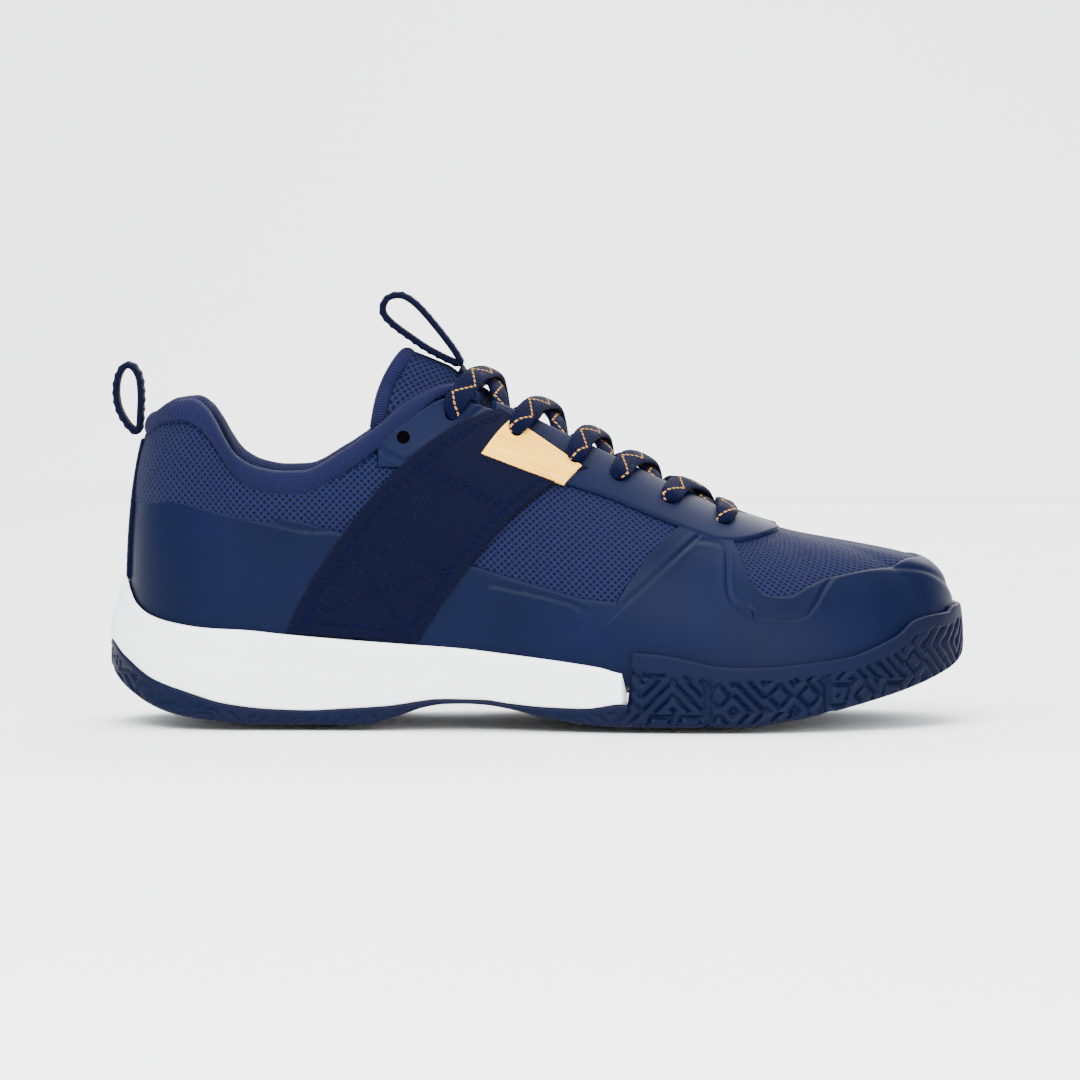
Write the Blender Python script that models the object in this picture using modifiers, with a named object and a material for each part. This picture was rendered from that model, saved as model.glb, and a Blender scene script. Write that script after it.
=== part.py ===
"""Right-foot court shoe for racket sports, as an assembly of its separate pieces.

Sizes are in millimetres and the scene is in metres. +X points to the toe, +Y to the inner (medial) side
and +Z up. The origin is on the floor, under the middle of the shoe.

The upper is laid over a last. A place on it has two coordinates. The ring coordinate runs round the foot:
0 is the back of the heel, 1 the heel's centre, 2 the ball of the foot and 3 the toe tip, negative on the
outer (lateral) side. The turn goes over the foot: 0 at the feather edge, where the upper meets the sole,
and a quarter turn at the ridge of the instep. Layers lie at distances out from this surface, which is the
outer face of the mesh.
"""

import math

import bmesh
import bpy
import numpy as np

MM = 0.001
GAP = 0.4  # between pieces that touch

# The last, seen from above
UPPER_LENGTH = 285.8
AHEAD = 1.9  # the middle of the upper, ahead of the middle of the shoe
HEEL_REACH = 36.0  # from the heel's centre to its back
TOE_REACH = 84.8  # from the ball's centre to the toe tip
TOE_TIP_Y = 8.0
TOE_SQUARENESS = 2.2
BALL_WIDTH = 100.0
LATERAL_WIDTH = [(0, 0.34), (0.27, 0.36), (0.5, 0.393), (0.8, 0.472), (1, 0.4975)]  # shares of BALL_WIDTH
MEDIAL_WIDTH = [(0, 0.33), (0.24, 0.32), (0.45, 0.336), (0.7, 0.414), (1, 0.4975)]
RIDGE_Y = [(0, 0), (0.5, 1.5), (1, 3)]  # the instep's ridge leans to the big toe

# The last, seen from the side: (share of the upper's length from the heel, height)
ROOF = [(0, 133), (0.213, 133), (0.283, 131.5), (0.329, 128), (0.392, 120.5), (0.448, 113.5), (0.5, 106),
        (0.567, 95.5), (0.626, 86), (0.686, 77), (0.738, 69.5), (0.773, 66), (0.808, 63.3), (0.85, 61),
        (0.896, 58.6), (0.931, 56.8), (0.966, 55), (1, 53)]
BED = [(0, 25), (0.094, 24), (0.283, 22), (0.42, 18.5), (0.567, 14.5), (0.703, 13.5), (0.85, 16.5),
       (0.931, 20), (1, 27)]
ROUNDNESS = [(0, 2), (0.126, 2.1), (0.297, 2.6), (0.388, 2.6), (0.465, 2.2), (0.539, 1.85), (0.661, 1.85),
             (0.721, 2), (0.85, 3), (0.959, 7), (1, 18)]
UPRIGHTNESS = [(0, 3), (0.13, 2.8), (0.3, 2.2), (0.45, 2), (1, 2)]

# The opening
COLLAR_EDGE = [(0, 104), (0.026, 108.3), (0.056, 109), (0.08, 106.5), (0.1, 101.5), (0.118, 94.8),
               (0.136, 88.8), (0.157, 85.7), (0.185, 84.3), (0.211, 84.5), (0.258, 91.2), (0.283, 96),
               (0.308, 101.5), (0.332, 107.2), (0.358, 111.8), (0.378, 114), (0.396, 114.5)]
THROAT_HALF_GAP = [(0.358, 20), (0.399, 18), (0.458, 15.5), (0.5, 14), (0.567, 12.5), (0.703, 10.5)]
THROAT_START = 0.385  # where the collar's edge turns into the throat's
THROAT_BLEND = 0.03
THROAT_FRONT = 12.0  # from the ball's centre to the throat's front edge

# Eyelets: (share of the length, distance from the ridge), from the toe up
EYELETS = [(0.715, 22), (0.649, 22), (0.588, 22), (0.535, 22.5), (0.465, 23), (0.389, 25)]
SPARE_EYELET = (0.332, 29.3)
EYELET_RADIUS = 2.7
EYELET_MARGIN = 7.0  # from an eyelet to the mesh

# Layers of the upper: distances out from the mesh's outer face, and thicknesses
MESH_THICK = 1.2
STIFFENER_OUT = -MESH_THICK - GAP
PUFF_THICK = 0.8
COUNTER_THICK = 2.0
FOAM_THICK = 4.0
LINING_THICK = 0.8
LINING_OUT = STIFFENER_OUT - PUFF_THICK - GAP
COLLAR_LINING_OUT = STIFFENER_OUT - FOAM_THICK - GAP
OVERLAY_OUT = 0.35
OVERLAY_THICK = 0.7
EYESTAY_THICK = 1.0
STRAP_OUT = OVERLAY_OUT + EYESTAY_THICK + 0.35
STRAP_THICK = 1.0
FOIL_OUT = STRAP_OUT + STRAP_THICK + 0.3
FOIL_THICK = 0.25

# Edges of the layers: shares of the length, (share of the length, height) lines, heights, or ring coordinates
TOE_ROWS = np.array([0, 0.1, 0.17, 0.22, 0.26, 0.31, 0.38, 0.5, 0.65, 0.82, 1])
PUFF_START = 2.45
PUFF_ROWS = 7  # of the toe rows
LINING_JOIN = 0.287
FOAM_BOTTOM = 68.0
COUNTER_END = 0.22
COUNTER_TOP = 66.0
BINDING_END = 0.42
BINDING_SECTION = [(0.55, -6), (1.35, -5.8), (1.5, -3), (1.3, -0.6), (0.3, 1.3), (-2.8, 2.4), (-5.8, 1.4),
                   (-7.6, -0.4), (-8.0, -3), (-7.9, -5.6), (-7.2, -5.8), (-7.2, -3), (-6.2, 0), (-2.8, 1.0),
                   (-0.2, 0.2), (0.5, -1.6)]  # (out from the mesh, up from the collar's edge)
TOE_SKIN_START = 0.535
TOE_SKIN_UPRIGHT = 2.05  # ring coordinate where the skin's columns stop leaning forward
TOE_SKIN_LEAN = 0.235
TOE_SKIN_EDGE = [(1.7, 0.9), (1.94, 0.72), (2, 0.71), (2.08, 0.76), (2.14, 0.83), (2.2, 0.85), (2.28, 0.83),
                 (2.36, 0.79), (3, 0.81)]  # (ring, share of the way from the ridge to the outline)
FACING_START = 0.438
FACING_MARGIN = EYELET_MARGIN + 4
HEEL_SKIN_END = 0.27
HEEL_SKIN_TOP = [(0, 84), (0.044, 82), (0.091, 78), (0.15, 74), (0.21, 69.5), (0.31, 63)]
MIDFOOT_LOW = [(0.278, 0), (0.4, 0), (0.523, 0)]
MIDFOOT_HIGH = [(0.313, 60), (0.4, 56), (0.45, 51.5), (0.497, 47.5), (0.545, 43.5), (0.593, 42)]
STRAP_LOW = [(0.192, 31), (0.35, 28)]
STRAP_HIGH = [(0.446, 106.5), (0.553, 86)]
FOIL_LOW = [(0.424, 91.5), (0.523, 80.5)]
FOIL_HIGH = [(0.46, 103), (0.545, 86.5)]
TAB_START = 0.3
TAB_END = 0.425
TAB_BELOW_EDGE = 7.4
HEEL_STRIP_HALF_RING = 0.14
HEEL_STRIP_BOTTOM = 50.0
HEEL_STRIP_TOP = 95.0

# The sole: (share of the upper's length, size)
BOTTOM = [(-0.026, 24), (-0.021, 19), (-0.012, 14.5), (0.001, 10.9), (0.024, 6.8), (0.049, 4), (0.073, 2.5),
          (0.119, 1), (0.157, 0), (0.287, 0), (0.311, 1.7), (0.334, 3.9), (0.358, 6.2), (0.381, 7.3),
          (0.406, 7.5), (0.429, 7.2), (0.453, 6.2), (0.477, 4.7), (0.5, 3), (0.524, 1.9), (0.556, 0.8),
          (0.598, 0), (0.738, 0), (0.786, 1.8), (0.829, 4), (0.899, 8.7), (0.941, 12), (0.976, 15.5),
          (1.001, 19.5), (1.012, 26)]
RUBBER_THICK = [(0, 3), (0.3, 2.5), (0.36, 1.6), (0.46, 1.5), (0.52, 2.6), (0.6, 3.2), (1, 3.2)]
LIP = [(0, 48), (0.005, 44.5), (0.014, 39.8), (0.031, 36.3), (0.056, 34.2), (0.098, 32.5), (0.145, 31.8),
       (0.189, 30.5), (0.246, 29.1), (0.329, 27.4), (0.401, 26), (0.448, 24.5), (0.52, 22), (0.567, 20),
       (0.597, 18)]
RUBBER_TOP = [(-0.026, 27), (-0.006, 22.3), (0.031, 15), (0.073, 11), (0.119, 7.3), (0.168, 5.5), (0.215, 5),
              (0.262, 5.6), (0.311, 6.5), (0.381, 9), (0.43, 8.8), (0.455, 7.8), (0.5, 6.6), (0.548, 6.2),
              (0.593, 7.8)]
WRAP_TOP = [(0.603, 25.5), (0.639, 24.8), (0.674, 23), (0.698, 21.4), (0.728, 20.6), (0.77, 20.7),
            (0.817, 21.8), (0.864, 23.4), (0.899, 26.5), (0.931, 30.5), (0.954, 35), (0.972, 36.3),
            (0.995, 37), (1.004, 38.8)]
FLARE = [(0, 7.3), (0.2, 5.6), (0.45, 4.6), (0.6, 3.9), (0.85, 3.7), (1, 3.5)]  # past the upper's outline
WRAP_START = 0.597  # where the white wall ends and the rubber wrap begins
WRAP_STEP = 0.008
RUBBER_WALL = 2.4
CUP_OUT = OVERLAY_OUT + OVERLAY_THICK + GAP
BOARD_THICK = 1.2
BED_DROP = BOARD_THICK + 3 * GAP
SOCKLINER_THICK = 4.0
SHANK_START = 0.277
SHANK_END = 0.577
SHANK_HALF_WIDTH = 17.0
SHANK_THICK = 1.2
SOCKLINER_OUT = [(0, -8), (0.3, -8), (0.36, -4.8), (0.75, -4.8), (0.88, -5.8), (1, -6)]  # from the last
SOCKLINER_HINGE = 0.93
INNER_PARTS = (0.35, 0.65, 0.84, 0.96)  # spots between the centre line and the outline
FORE_OUT = (0.2, 0.5, 0.7, 0.85, 0.95, 1.0, 1.0, 1.0, 0.95)  # the midsole's edge inside the wrap
FORE_DROP = (0, 0.03, 0.06, 0.1, 0.14, 0.2, 0.26, 0.33, 0.4)  # shares of its thickness

# The tread: shares of the length, and half widths
TREAD_DEPTH = 1.8
FLEX_GROOVES = (0.695, 0.838)
FLEX_GROOVE_WIDTH = 3.0
CHEVRONS = ((0.61, 34), (0.636, 36), (0.662, 37), (0.719, 37), (0.747, 36), (0.775, 35), (0.803, 33),
            (0.87, 28), (0.17, 23), (0.2, 23), (0.23, 23), (0.26, 22))
CHEVRON_WIDTH = 2.4
CHEVRON_DEPTH = 1.6
CHEVRON_START = 3.0  # from the centre line
TREAD_LEAN = 0.09
WINDOW_START = 0.352
WINDOW_END = 0.472
WINDOW_HALF_WIDTH = 13.0
WINDOW_CORNER = 5.5
WINDOW_TOP = 11.0
CUT_BELOW = 3.0  # a cutter's reach past the surface

# The tongue: (share of the way from its front to its top, size)
TONGUE_FRONT = 0.752
TONGUE_TOP = 0.334
TONGUE_LAYERS_END = 0.965  # where the rolled edge takes over
TONGUE_SWEEP = 12.0
TONGUE_HALF_WIDTH = [(0, 17), (0.12, 23), (0.35, 28), (0.8, 28), (1, 30)]
TONGUE_CROWN = [(0, -4.8), (0.3, -4.8), (0.66, -4.5), (0.74, -3.6), (0.82, -1.6), (0.88, 0.3), (1, 0)]
TONGUE_EDGE = [(0, -4.8), (0.8, -4.8), (0.93, -7.5), (1, -9)]
TONGUE_FACE_THICK = 1.0
TONGUE_FOAM_THICK = 4.5
TONGUE_BINDING_RADIUS = 3.7

# Pull loops, seen from the side: (ahead of the pivot, above it)
LOOP_WIDTH = 12.0
LOOP_THICK = 2.2
HEEL_PIVOT = (-138.6, 97.6)
HEEL_LOOP = [(-0.6, 1.2), (-3.4, 3.4), (-6.4, 8.5), (-7.5, 14), (-7, 19.6), (-5, 23.4), (-2.2, 23.8),
             (0.2, 20.4), (1, 14.5), (0.8, 8), (0.5, 3.4)]
TONGUE_PIVOT = (-24.5, 119.2)
TONGUE_LOOP = [(-3, 3.1), (-12, 7.2), (-20, 12.4), (-26.8, 17.6), (-29.3, 21.5), (-27.6, 25.6), (-22.8, 26.6),
               (-17.5, 23.4), (-10.5, 15.5), (-4, 6.8)]

# The lace
LACE_RADIUS = 1.4
AGLET_RADIUS = 1.55
AGLET_LENGTH = 14.0

NAVY = (0.012, 0.022, 0.09)
MESH_BLUE = (0.045, 0.052, 0.19)
STRAP_BLUE = (0.008, 0.009, 0.07)
KNIT_BLUE = (0.05, 0.05, 0.19)
WHITE = (0.9, 0.9, 0.92)
RUBBER_BLUE = (0.012, 0.026, 0.11)
GREY = (0.25, 0.25, 0.27)
GOLD = (0.85, 0.62, 0.22)

BACK_X = AHEAD - UPPER_LENGTH / 2
HEEL_X = BACK_X + HEEL_REACH
BALL_X = BACK_X + UPPER_LENGTH - TOE_REACH
QUARTER = math.pi / 2
# Shares at which a line up the last is read, closest together at its top, where a square toe turns fast
FINE = np.unique(np.concatenate([np.linspace(0, 1, 61), 1 - np.geomspace(1, 1e-10, 90)]))


def curve(pairs, at):
    """Smooth curve through (key, value) pairs, level at both ends."""
    keys, values = np.array(pairs, float).T
    at = np.clip(at, keys[0], keys[-1])
    chords = np.diff(values) / np.diff(keys)
    slopes = np.zeros(len(keys))
    same_way = chords[1:] * chords[:-1] > 0
    sums = np.where(same_way, chords[1:] + chords[:-1], 1)
    slopes[1:-1] = np.where(same_way, 2 * chords[1:] * chords[:-1] / sums, 0)
    i = np.clip(np.searchsorted(keys, at, side="right") - 1, 0, len(keys) - 2)
    span = keys[i + 1] - keys[i]
    t = (at - keys[i]) / span
    start = values[i] * (1 + 2 * t) * (1 - t) ** 2 + slopes[i] * span * t * (1 - t) ** 2
    end = values[i + 1] * t * t * (3 - 2 * t) + slopes[i + 1] * span * t * t * (t - 1)
    return start + end


def share(x):
    """Share of the upper's length, from the back of the heel."""
    return (x - BACK_X) / UPPER_LENGTH


def place(part):
    """The x at a share of the upper's length."""
    return BACK_X + np.asarray(part, float) * UPPER_LENGTH


def lap(part):
    """Ring coordinate, without its sign, at a share of the length between heel centre and ball."""
    return 1 + (place(part) - HEEL_X) / (BALL_X - HEEL_X)


def plan(ring):
    """Outline of the upper and the ridge point it rises to, seen from above, at a ring coordinate."""
    ring = np.asarray(ring, float)
    side = np.where(ring < 0, -1.0, 1.0)
    around = np.abs(ring)
    heel = np.clip(around, 0, 1) * QUARTER
    along = np.clip(around - 1, 0, 1)
    toe = np.clip(around - 2, 0, 1) * QUARTER
    width = BALL_WIDTH * np.where(side < 0, curve(LATERAL_WIDTH, along), curve(MEDIAL_WIDTH, along))
    ahead = np.sin(toe) ** (2 / TOE_SQUARENESS)
    aside = np.abs(np.cos(toe)) ** (2 / TOE_SQUARENESS)
    ridge = np.stack([HEEL_X + along * (BALL_X - HEEL_X), curve(RIDGE_Y, along)], axis=-1)
    x = ridge[..., 0] - HEEL_REACH * np.cos(heel) + TOE_REACH * ahead
    y = side * width * np.sin(heel) * aside + TOE_TIP_Y * ahead**2
    return np.stack([x, y], axis=-1), ridge


def bare(ring, turn):
    """Point of the last at a ring coordinate and a turn."""
    base, ridge = plan(ring)
    at = share(base[..., 0])
    reach = np.abs(np.cos(turn)) ** (2 / curve(ROUNDNESS, at))
    rise = np.abs(np.sin(turn)) ** (2 / curve(UPRIGHTNESS, at))
    spot = ridge + (base - ridge) * reach[..., None]
    low = curve(BED, at)
    height = low + (curve(ROOF, share(spot[..., 0])) - low) * rise
    return np.concatenate([spot, height[..., None]], axis=-1)


def wall(ring, turn, out=0.0):
    """Point at a distance out from the last, square to it."""
    ring, turn, out = np.broadcast_arrays(*(np.asarray(value, float) for value in (ring, turn, out)))
    point = bare(ring, turn)
    step = 2e-3
    along = bare(ring + step, turn) - bare(ring - step, turn)
    over = bare(ring, np.minimum(turn + step, QUARTER)) - bare(ring, np.maximum(turn - step, 0))
    square = np.cross(along, over)
    square /= np.linalg.norm(square, axis=-1, keepdims=True)
    base, ridge = plan(ring)
    outward = np.concatenate([base - ridge, np.ones(base.shape[:-1] + (1,))], axis=-1)
    square *= np.sign((square * outward).sum(-1, keepdims=True))
    return point + square * out[..., None]


def turn_at_height(ring, height):
    """The turn at which the last reaches a height."""
    ring, height = np.broadcast_arrays(np.asarray(ring, float), np.asarray(height, float))
    low, high = np.zeros(ring.shape), np.full(ring.shape, QUARTER)
    for _ in range(40):
        middle = (low + high) / 2
        below = bare(ring, middle)[..., 2] < height
        low, high = np.where(below, middle, low), np.where(below, high, middle)
    return (low + high) / 2


def breadth(ring):
    """Distance from the ridge to the outline, seen from above."""
    base, ridge = plan(ring)
    return np.linalg.norm(base - ridge, axis=-1)


def turn_at_distance(ring, distance):
    """The turn at which the last is this far from the ridge, seen from above."""
    base, _ = plan(ring)
    reach = np.clip(distance / breadth(ring), 0, 1)
    return np.arccos(reach ** (curve(ROUNDNESS, share(base[..., 0])) / 2))


def slimmer(ring):
    """How much narrower this side of the foot is than its outer side."""
    return breadth(ring) / breadth(-np.abs(ring))


def edge_turn(ring):
    """The turn at the upper's top edge: the collar's, then the throat's."""
    at = share(plan(ring)[0][..., 0])
    collar = turn_at_height(ring, curve(COLLAR_EDGE, at))
    to_front = np.clip(np.abs(ring) - 2, 0, 1)
    gap = curve(THROAT_HALF_GAP, at) * (1 - to_front) + THROAT_FRONT * to_front
    throat = turn_at_distance(ring, gap)
    blend = np.clip((at - THROAT_START) / THROAT_BLEND, 0, 1)
    return collar * (1 - blend) + throat * blend


def lower(ring, turn, length):
    """The turn that lies this far down the last from a turn."""
    fine = (1 - FINE[::-1])[:, None]
    path = bare(ring, turn * (1 - fine))
    run = np.vstack([np.zeros(len(turn)), np.cumsum(np.linalg.norm(np.diff(path, axis=0), axis=-1), axis=0)])
    down = [np.interp(length, run[:, j], fine[:, 0]) for j in range(len(turn))]
    return turn * (1 - np.array(down))


def row_turn(ring):
    """The turn of the eyelet row."""
    at = share(plan(ring)[0][..., 0])
    to_front = np.clip(np.abs(ring) - 2, 0, 1)
    distance = curve([SPARE_EYELET] + EYELETS[::-1], at) * (1 - to_front) + (THROAT_FRONT - 2) * to_front
    return turn_at_distance(ring, distance * slimmer(ring))


def facing_turn(ring, margin):
    """The turn that lies a margin below the eyelets, and just below the collar's edge behind them."""
    blend = np.clip((share(plan(ring)[0][..., 0]) - 0.27) / 0.03, 0, 1)
    return (edge_turn(ring) - 0.02) * (1 - blend) + lower(ring, row_turn(ring), margin) * blend


def columns(ring_low, ring_high, turn_low, turn_high, rows, out):
    """Grid of points: one column for each pair of ends, its rows at even or given shares of its length."""
    shares = np.linspace(0, 1, rows) if np.isscalar(rows) else np.asarray(rows)
    fine = FINE[:, None]
    ring = ring_low * (1 - fine) + ring_high * fine
    turn = turn_low * (1 - fine) + turn_high * fine
    path = bare(ring, turn)
    steps = np.linalg.norm(np.diff(path, axis=0), axis=-1)
    length = np.vstack([np.zeros(ring.shape[1]), np.cumsum(steps, axis=0)])
    grid = []
    for j in range(ring.shape[1]):
        at = np.interp(shares * length[-1, j], length[:, j], fine[:, 0])
        grid.append(wall(np.interp(at, fine[:, 0], ring[:, j]), np.interp(at, fine[:, 0], turn[:, j]), out))
    return np.array(grid)


def stations(first, last, extra=()):
    """The shared ring coordinates between two ends, which may lie on either side of the heel."""
    laps = np.concatenate([np.linspace(0, 1, 7)[:-1], np.linspace(1, 2, 13)[:-1], np.linspace(2, 3, 10)])
    both = np.concatenate([-laps[:0:-1], laps, extra])
    inside = both[(both > first + 0.012) & (both < last - 0.012)]
    return np.unique(np.concatenate([[first], inside, [last]]))


def round_toe(start):
    """Ring coordinates from one place on the outer side, round the toe, to the same on the inner side."""
    inner = stations(start, 3.0)
    return np.concatenate([-inner[:-1], inner[::-1]])


def finish(name, vertices, faces, colour, smooth=True):
    """A mesh object with its own material, in the shoe's collection."""
    mesh = bpy.data.meshes.new(name)
    mesh.from_pydata((np.asarray(vertices).reshape(-1, 3) * MM).tolist(), [], faces)
    work = bmesh.new()
    work.from_mesh(mesh)
    bmesh.ops.remove_doubles(work, verts=work.verts, dist=1e-6)
    work.to_mesh(mesh)
    work.free()
    mesh.polygons.foreach_set("use_smooth", [smooth] * len(mesh.polygons))
    obj = bpy.data.objects.new(name, mesh)
    return dress(obj, colour)


def dress(obj, colour, roughness=0.6):
    """Links an object and gives it its own material."""
    material = bpy.data.materials.new(obj.name)
    material.use_nodes = True
    shader = material.node_tree.nodes["Principled BSDF"]
    shader.inputs["Base Color"].default_value = (*colour, 1)
    shader.inputs["Roughness"].default_value = roughness
    material.diffuse_color = (*colour, 1)
    obj.data.materials.append(material)
    SHOE.objects.link(obj)
    return obj


def grid_faces(across, down, closed_across=False, closed_down=False):
    """Quads of a grid whose points are stored column after column."""
    faces = []
    for j in range(across if closed_across else across - 1):
        for i in range(down if closed_down else down - 1):
            a, b = j * down, (j + 1) % across * down
            k = (i + 1) % down
            faces.append((a + i, b + i, b + k, a + k))
    return faces


def sheet(name, grid, thickness, colour, inward=False, flat=False):
    """A curved sheet: a grid of points whose face looks outwards, or up, thickened that way or the other."""
    across, down = grid.shape[:2]
    middle = grid[across // 2, down // 2]
    side = grid[across // 2 - 1, down // 2] - middle
    up = grid[across // 2, down // 2 - 1] - middle
    looks = np.cross(side, up)
    centre = np.array([np.clip(middle[0], HEEL_X, BALL_X), 0, 20.0])
    faces = grid_faces(across, down)
    if looks @ ((0, 0, 1) if flat else middle - centre) < 0:
        faces = [face[::-1] for face in faces]
    obj = finish(name, grid, faces, colour)
    thicken = obj.modifiers.new("thickness", "SOLIDIFY")
    thicken.thickness = thickness * MM
    thicken.offset = -1 if inward else 1
    thicken.use_even_offset = True
    thicken.use_quality_normals = True
    return obj


def slab(name, outer, inner, colour):
    """A layer between two unlike surfaces, given as grids of the same size."""
    across, down = outer.shape[:2]
    far = across * down
    faces = grid_faces(across, down)
    faces += [(a + far, d + far, c + far, b + far) for a, b, c, d in faces]
    border = [j * down for j in range(across)] + [(across - 1) * down + i for i in range(1, down)]
    border += [j * down + down - 1 for j in range(across - 2, -1, -1)] + list(range(down - 2, 0, -1))
    faces += [(a, b, b + far, a + far) for a, b in zip(border[1:] + border[:1], border)]
    obj = finish(name, np.concatenate([outer.reshape(-1, 3), inner.reshape(-1, 3)]), faces, colour)
    face_outwards(obj)
    return obj


def face_outwards(obj):
    """Turns every face of a closed mesh outwards."""
    work = bmesh.new()
    work.from_mesh(obj.data)
    bmesh.ops.recalc_face_normals(work, faces=work.faces)
    work.to_mesh(obj.data)
    work.free()


def cut(obj, cutter):
    """Cuts a shape out of a piece."""
    boolean = obj.modifiers.new("cut", "BOOLEAN")
    boolean.operation = "DIFFERENCE"
    boolean.solver = "EXACT"
    boolean.object = cutter
    boolean.use_self = True


def hide_cutter(obj):
    """Moves an object to the cutters' collection."""
    SHOE.objects.unlink(obj)
    CUTTERS.objects.link(obj)
    obj.display_type = "WIRE"
    obj.hide_render = True
    return obj


def smooth_path(points, per_piece):
    """Rounded path through the points (Catmull-Rom), with this many steps between neighbours."""
    points = np.asarray(points, float)
    ends = np.vstack([2 * points[0] - points[1], points, 2 * points[-1] - points[-2]])
    path = []
    for a, b, c, d in zip(ends, ends[1:], ends[2:], ends[3:]):
        for t in np.arange(per_piece) / per_piece:
            bend = (2 * a - 5 * b + 4 * c - d) * t**2 + (3 * b - a - 3 * c + d) * t**3
            path.append((2 * b + (c - a) * t + bend) / 2)
    return np.array(path + [points[-1]])


def tube(name, path, radius, colour, sides=1):
    """A round cord along a path."""
    data = bpy.data.curves.new(name, "CURVE")
    data.dimensions = "3D"
    data.bevel_depth = radius * MM
    data.bevel_resolution = sides
    data.use_fill_caps = True
    spline = data.splines.new("POLY")
    spline.points.add(len(path) - 1)
    spline.points.foreach_set("co", np.column_stack([np.asarray(path) * MM, np.ones(len(path))]).ravel())
    spline.use_smooth = True
    return dress(bpy.data.objects.new(name, data), colour)


def plan_normal(ring):
    """Unit vector out from the upper's outline, seen from above."""
    along = plan(ring + 2e-3)[0] - plan(ring - 2e-3)[0]
    square = np.stack([along[..., 1], -along[..., 0]], axis=-1)
    square /= np.linalg.norm(square, axis=-1, keepdims=True)
    base, _ = plan(ring)
    centre = np.stack([np.clip(base[..., 0], HEEL_X, BALL_X), np.zeros(base.shape[:-1])], axis=-1)
    return square * np.sign((square * (base - centre)).sum(-1, keepdims=True))


def rim(ring, out, height):
    """Point level with a height and this far out from the upper's side, or from its outline under the bed."""
    ring, out, height = np.broadcast_arrays(*(np.asarray(value, float) for value in (ring, out, height)))
    low = curve(BED, share(plan(ring)[0][..., 0]))
    spot = bare(ring, turn_at_height(ring, np.maximum(height, low + 1e-3)))[..., :2]
    spot = spot + plan_normal(ring) * out[..., None]
    return np.concatenate([spot, height[..., None]], axis=-1)


def ring_solid(name, profiles, ridge_low, ridge_high, colour):
    """A closed solid from profiles set side by side round the foot, each from ridge line to ridge line."""
    profiles = np.concatenate([ridge_high[:, None], profiles, ridge_low[:, None]], axis=1)
    across, down = profiles.shape[:2]
    obj = finish(name, profiles, grid_faces(across, down, closed_across=True), colour)
    face_outwards(obj)
    return obj


def toward(ring, point, part):
    """Spot part of the way from the ridge line to a point, seen from above."""
    _, ridge = plan(ring)
    return ridge + (point[..., :2] - ridge) * part


def at_height(spot, height):
    """Spots seen from above, raised to a height."""
    return np.concatenate([spot, np.broadcast_to(height, spot.shape[:-1])[..., None]], axis=-1)


def sole_rings():
    """Ring coordinates all the way round the sole, closer together where the white wall ends."""
    step = lap(WRAP_START + WRAP_STEP * np.array([-0.4, 0.3, 0.5, 1.3]))
    even = [np.linspace(0, 1, 9), np.linspace(1, 2, 17), np.linspace(2, 3, 12)]
    laps = np.unique(np.concatenate(even + [step]))
    return np.concatenate([-laps[-2:0:-1], laps])


def sole_sizes(ring):
    """Flare, the rubber's top edge, how far the white wall has gone, and the rubber wall's inner place."""
    at = share(plan(ring)[0][..., 0])
    flare = curve(FLARE, at)
    outer = share(rim(ring, flare, 0)[..., 0])
    wrap = np.clip((at - WRAP_START - 0.5 * WRAP_STEP) / (0.8 * WRAP_STEP), 0, 1)
    gone = np.clip((at - WRAP_START + 0.4 * WRAP_STEP) / (0.7 * WRAP_STEP), 0, 1)
    top = curve(RUBBER_TOP, outer) * (1 - wrap) + curve(WRAP_TOP, outer) * wrap
    wall_out = (flare - RUBBER_WALL) * (1 - wrap) + CUP_OUT * wrap
    return flare, top, gone, wall_out


def ground(spot):
    """Height of the sole's underside, seen from above."""
    return curve(BOTTOM, share(spot[..., 0]))


def above_rubber(spot):
    """Height of the tread rubber's upper side, seen from above."""
    return ground(spot) + curve(RUBBER_THICK, share(spot[..., 0]))


def make_outsole():
    """The tread with its low wall round the heel and arch and its high wrap round the forefoot."""
    ring = sole_rings()
    flare, top, _, wall_out = sole_sizes(ring)
    foot = rim(ring, flare, 0)
    inner = rim(ring, wall_out, 0)
    base = rim(ring, 0, 0)
    profile = []
    for part in INNER_PARTS:
        spot = toward(ring, base, part)
        profile.append(at_height(spot, above_rubber(spot)))
    profile.append(at_height(inner[:, :2], above_rubber(rim(ring, wall_out - 1.3, 0))))
    corner = profile[-1][:, 2]
    for part in (0.35, 0.68, 1.0):
        profile.append(rim(ring, wall_out, corner + np.maximum(top - 0.3 - corner, 0.05) * part))
    profile.append(rim(ring, wall_out + 0.5, top))
    profile.append(rim(ring, flare - 0.5, top))
    profile.append(rim(ring, flare, top - 0.6))
    low_edge = ground(rim(ring, flare - 1.6, 0))
    profile.append(rim(ring, flare, low_edge + np.minimum(2.4, (top - low_edge) * 0.5)))
    profile.append(rim(ring, flare - 0.7, low_edge + np.minimum(0.8, (top - low_edge) * 0.25)))
    for part in (0.93, 0.75, 0.4):
        spot = toward(ring, foot, part)
        profile.append(at_height(spot, ground(spot)))
    _, ridge = plan(ring)
    obj = ring_solid("outsole", np.stack(profile, axis=1), at_height(ridge, ground(ridge)),
                     at_height(ridge, above_rubber(ridge)), RUBBER_BLUE)
    cut(obj, make_tread_cutter())
    return obj


def prism(outline, low, high):
    """Vertices and faces of an upright prism over an outline."""
    count = len(outline)
    vertices = [(x, y, low) for x, y in outline] + [(x, y, high) for x, y in outline]
    faces = [tuple(reversed(range(count))), tuple(range(count, 2 * count))]
    faces += [(i, (i + 1) % count, (i + 1) % count + count, i + count) for i in range(count)]
    return vertices, faces


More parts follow.
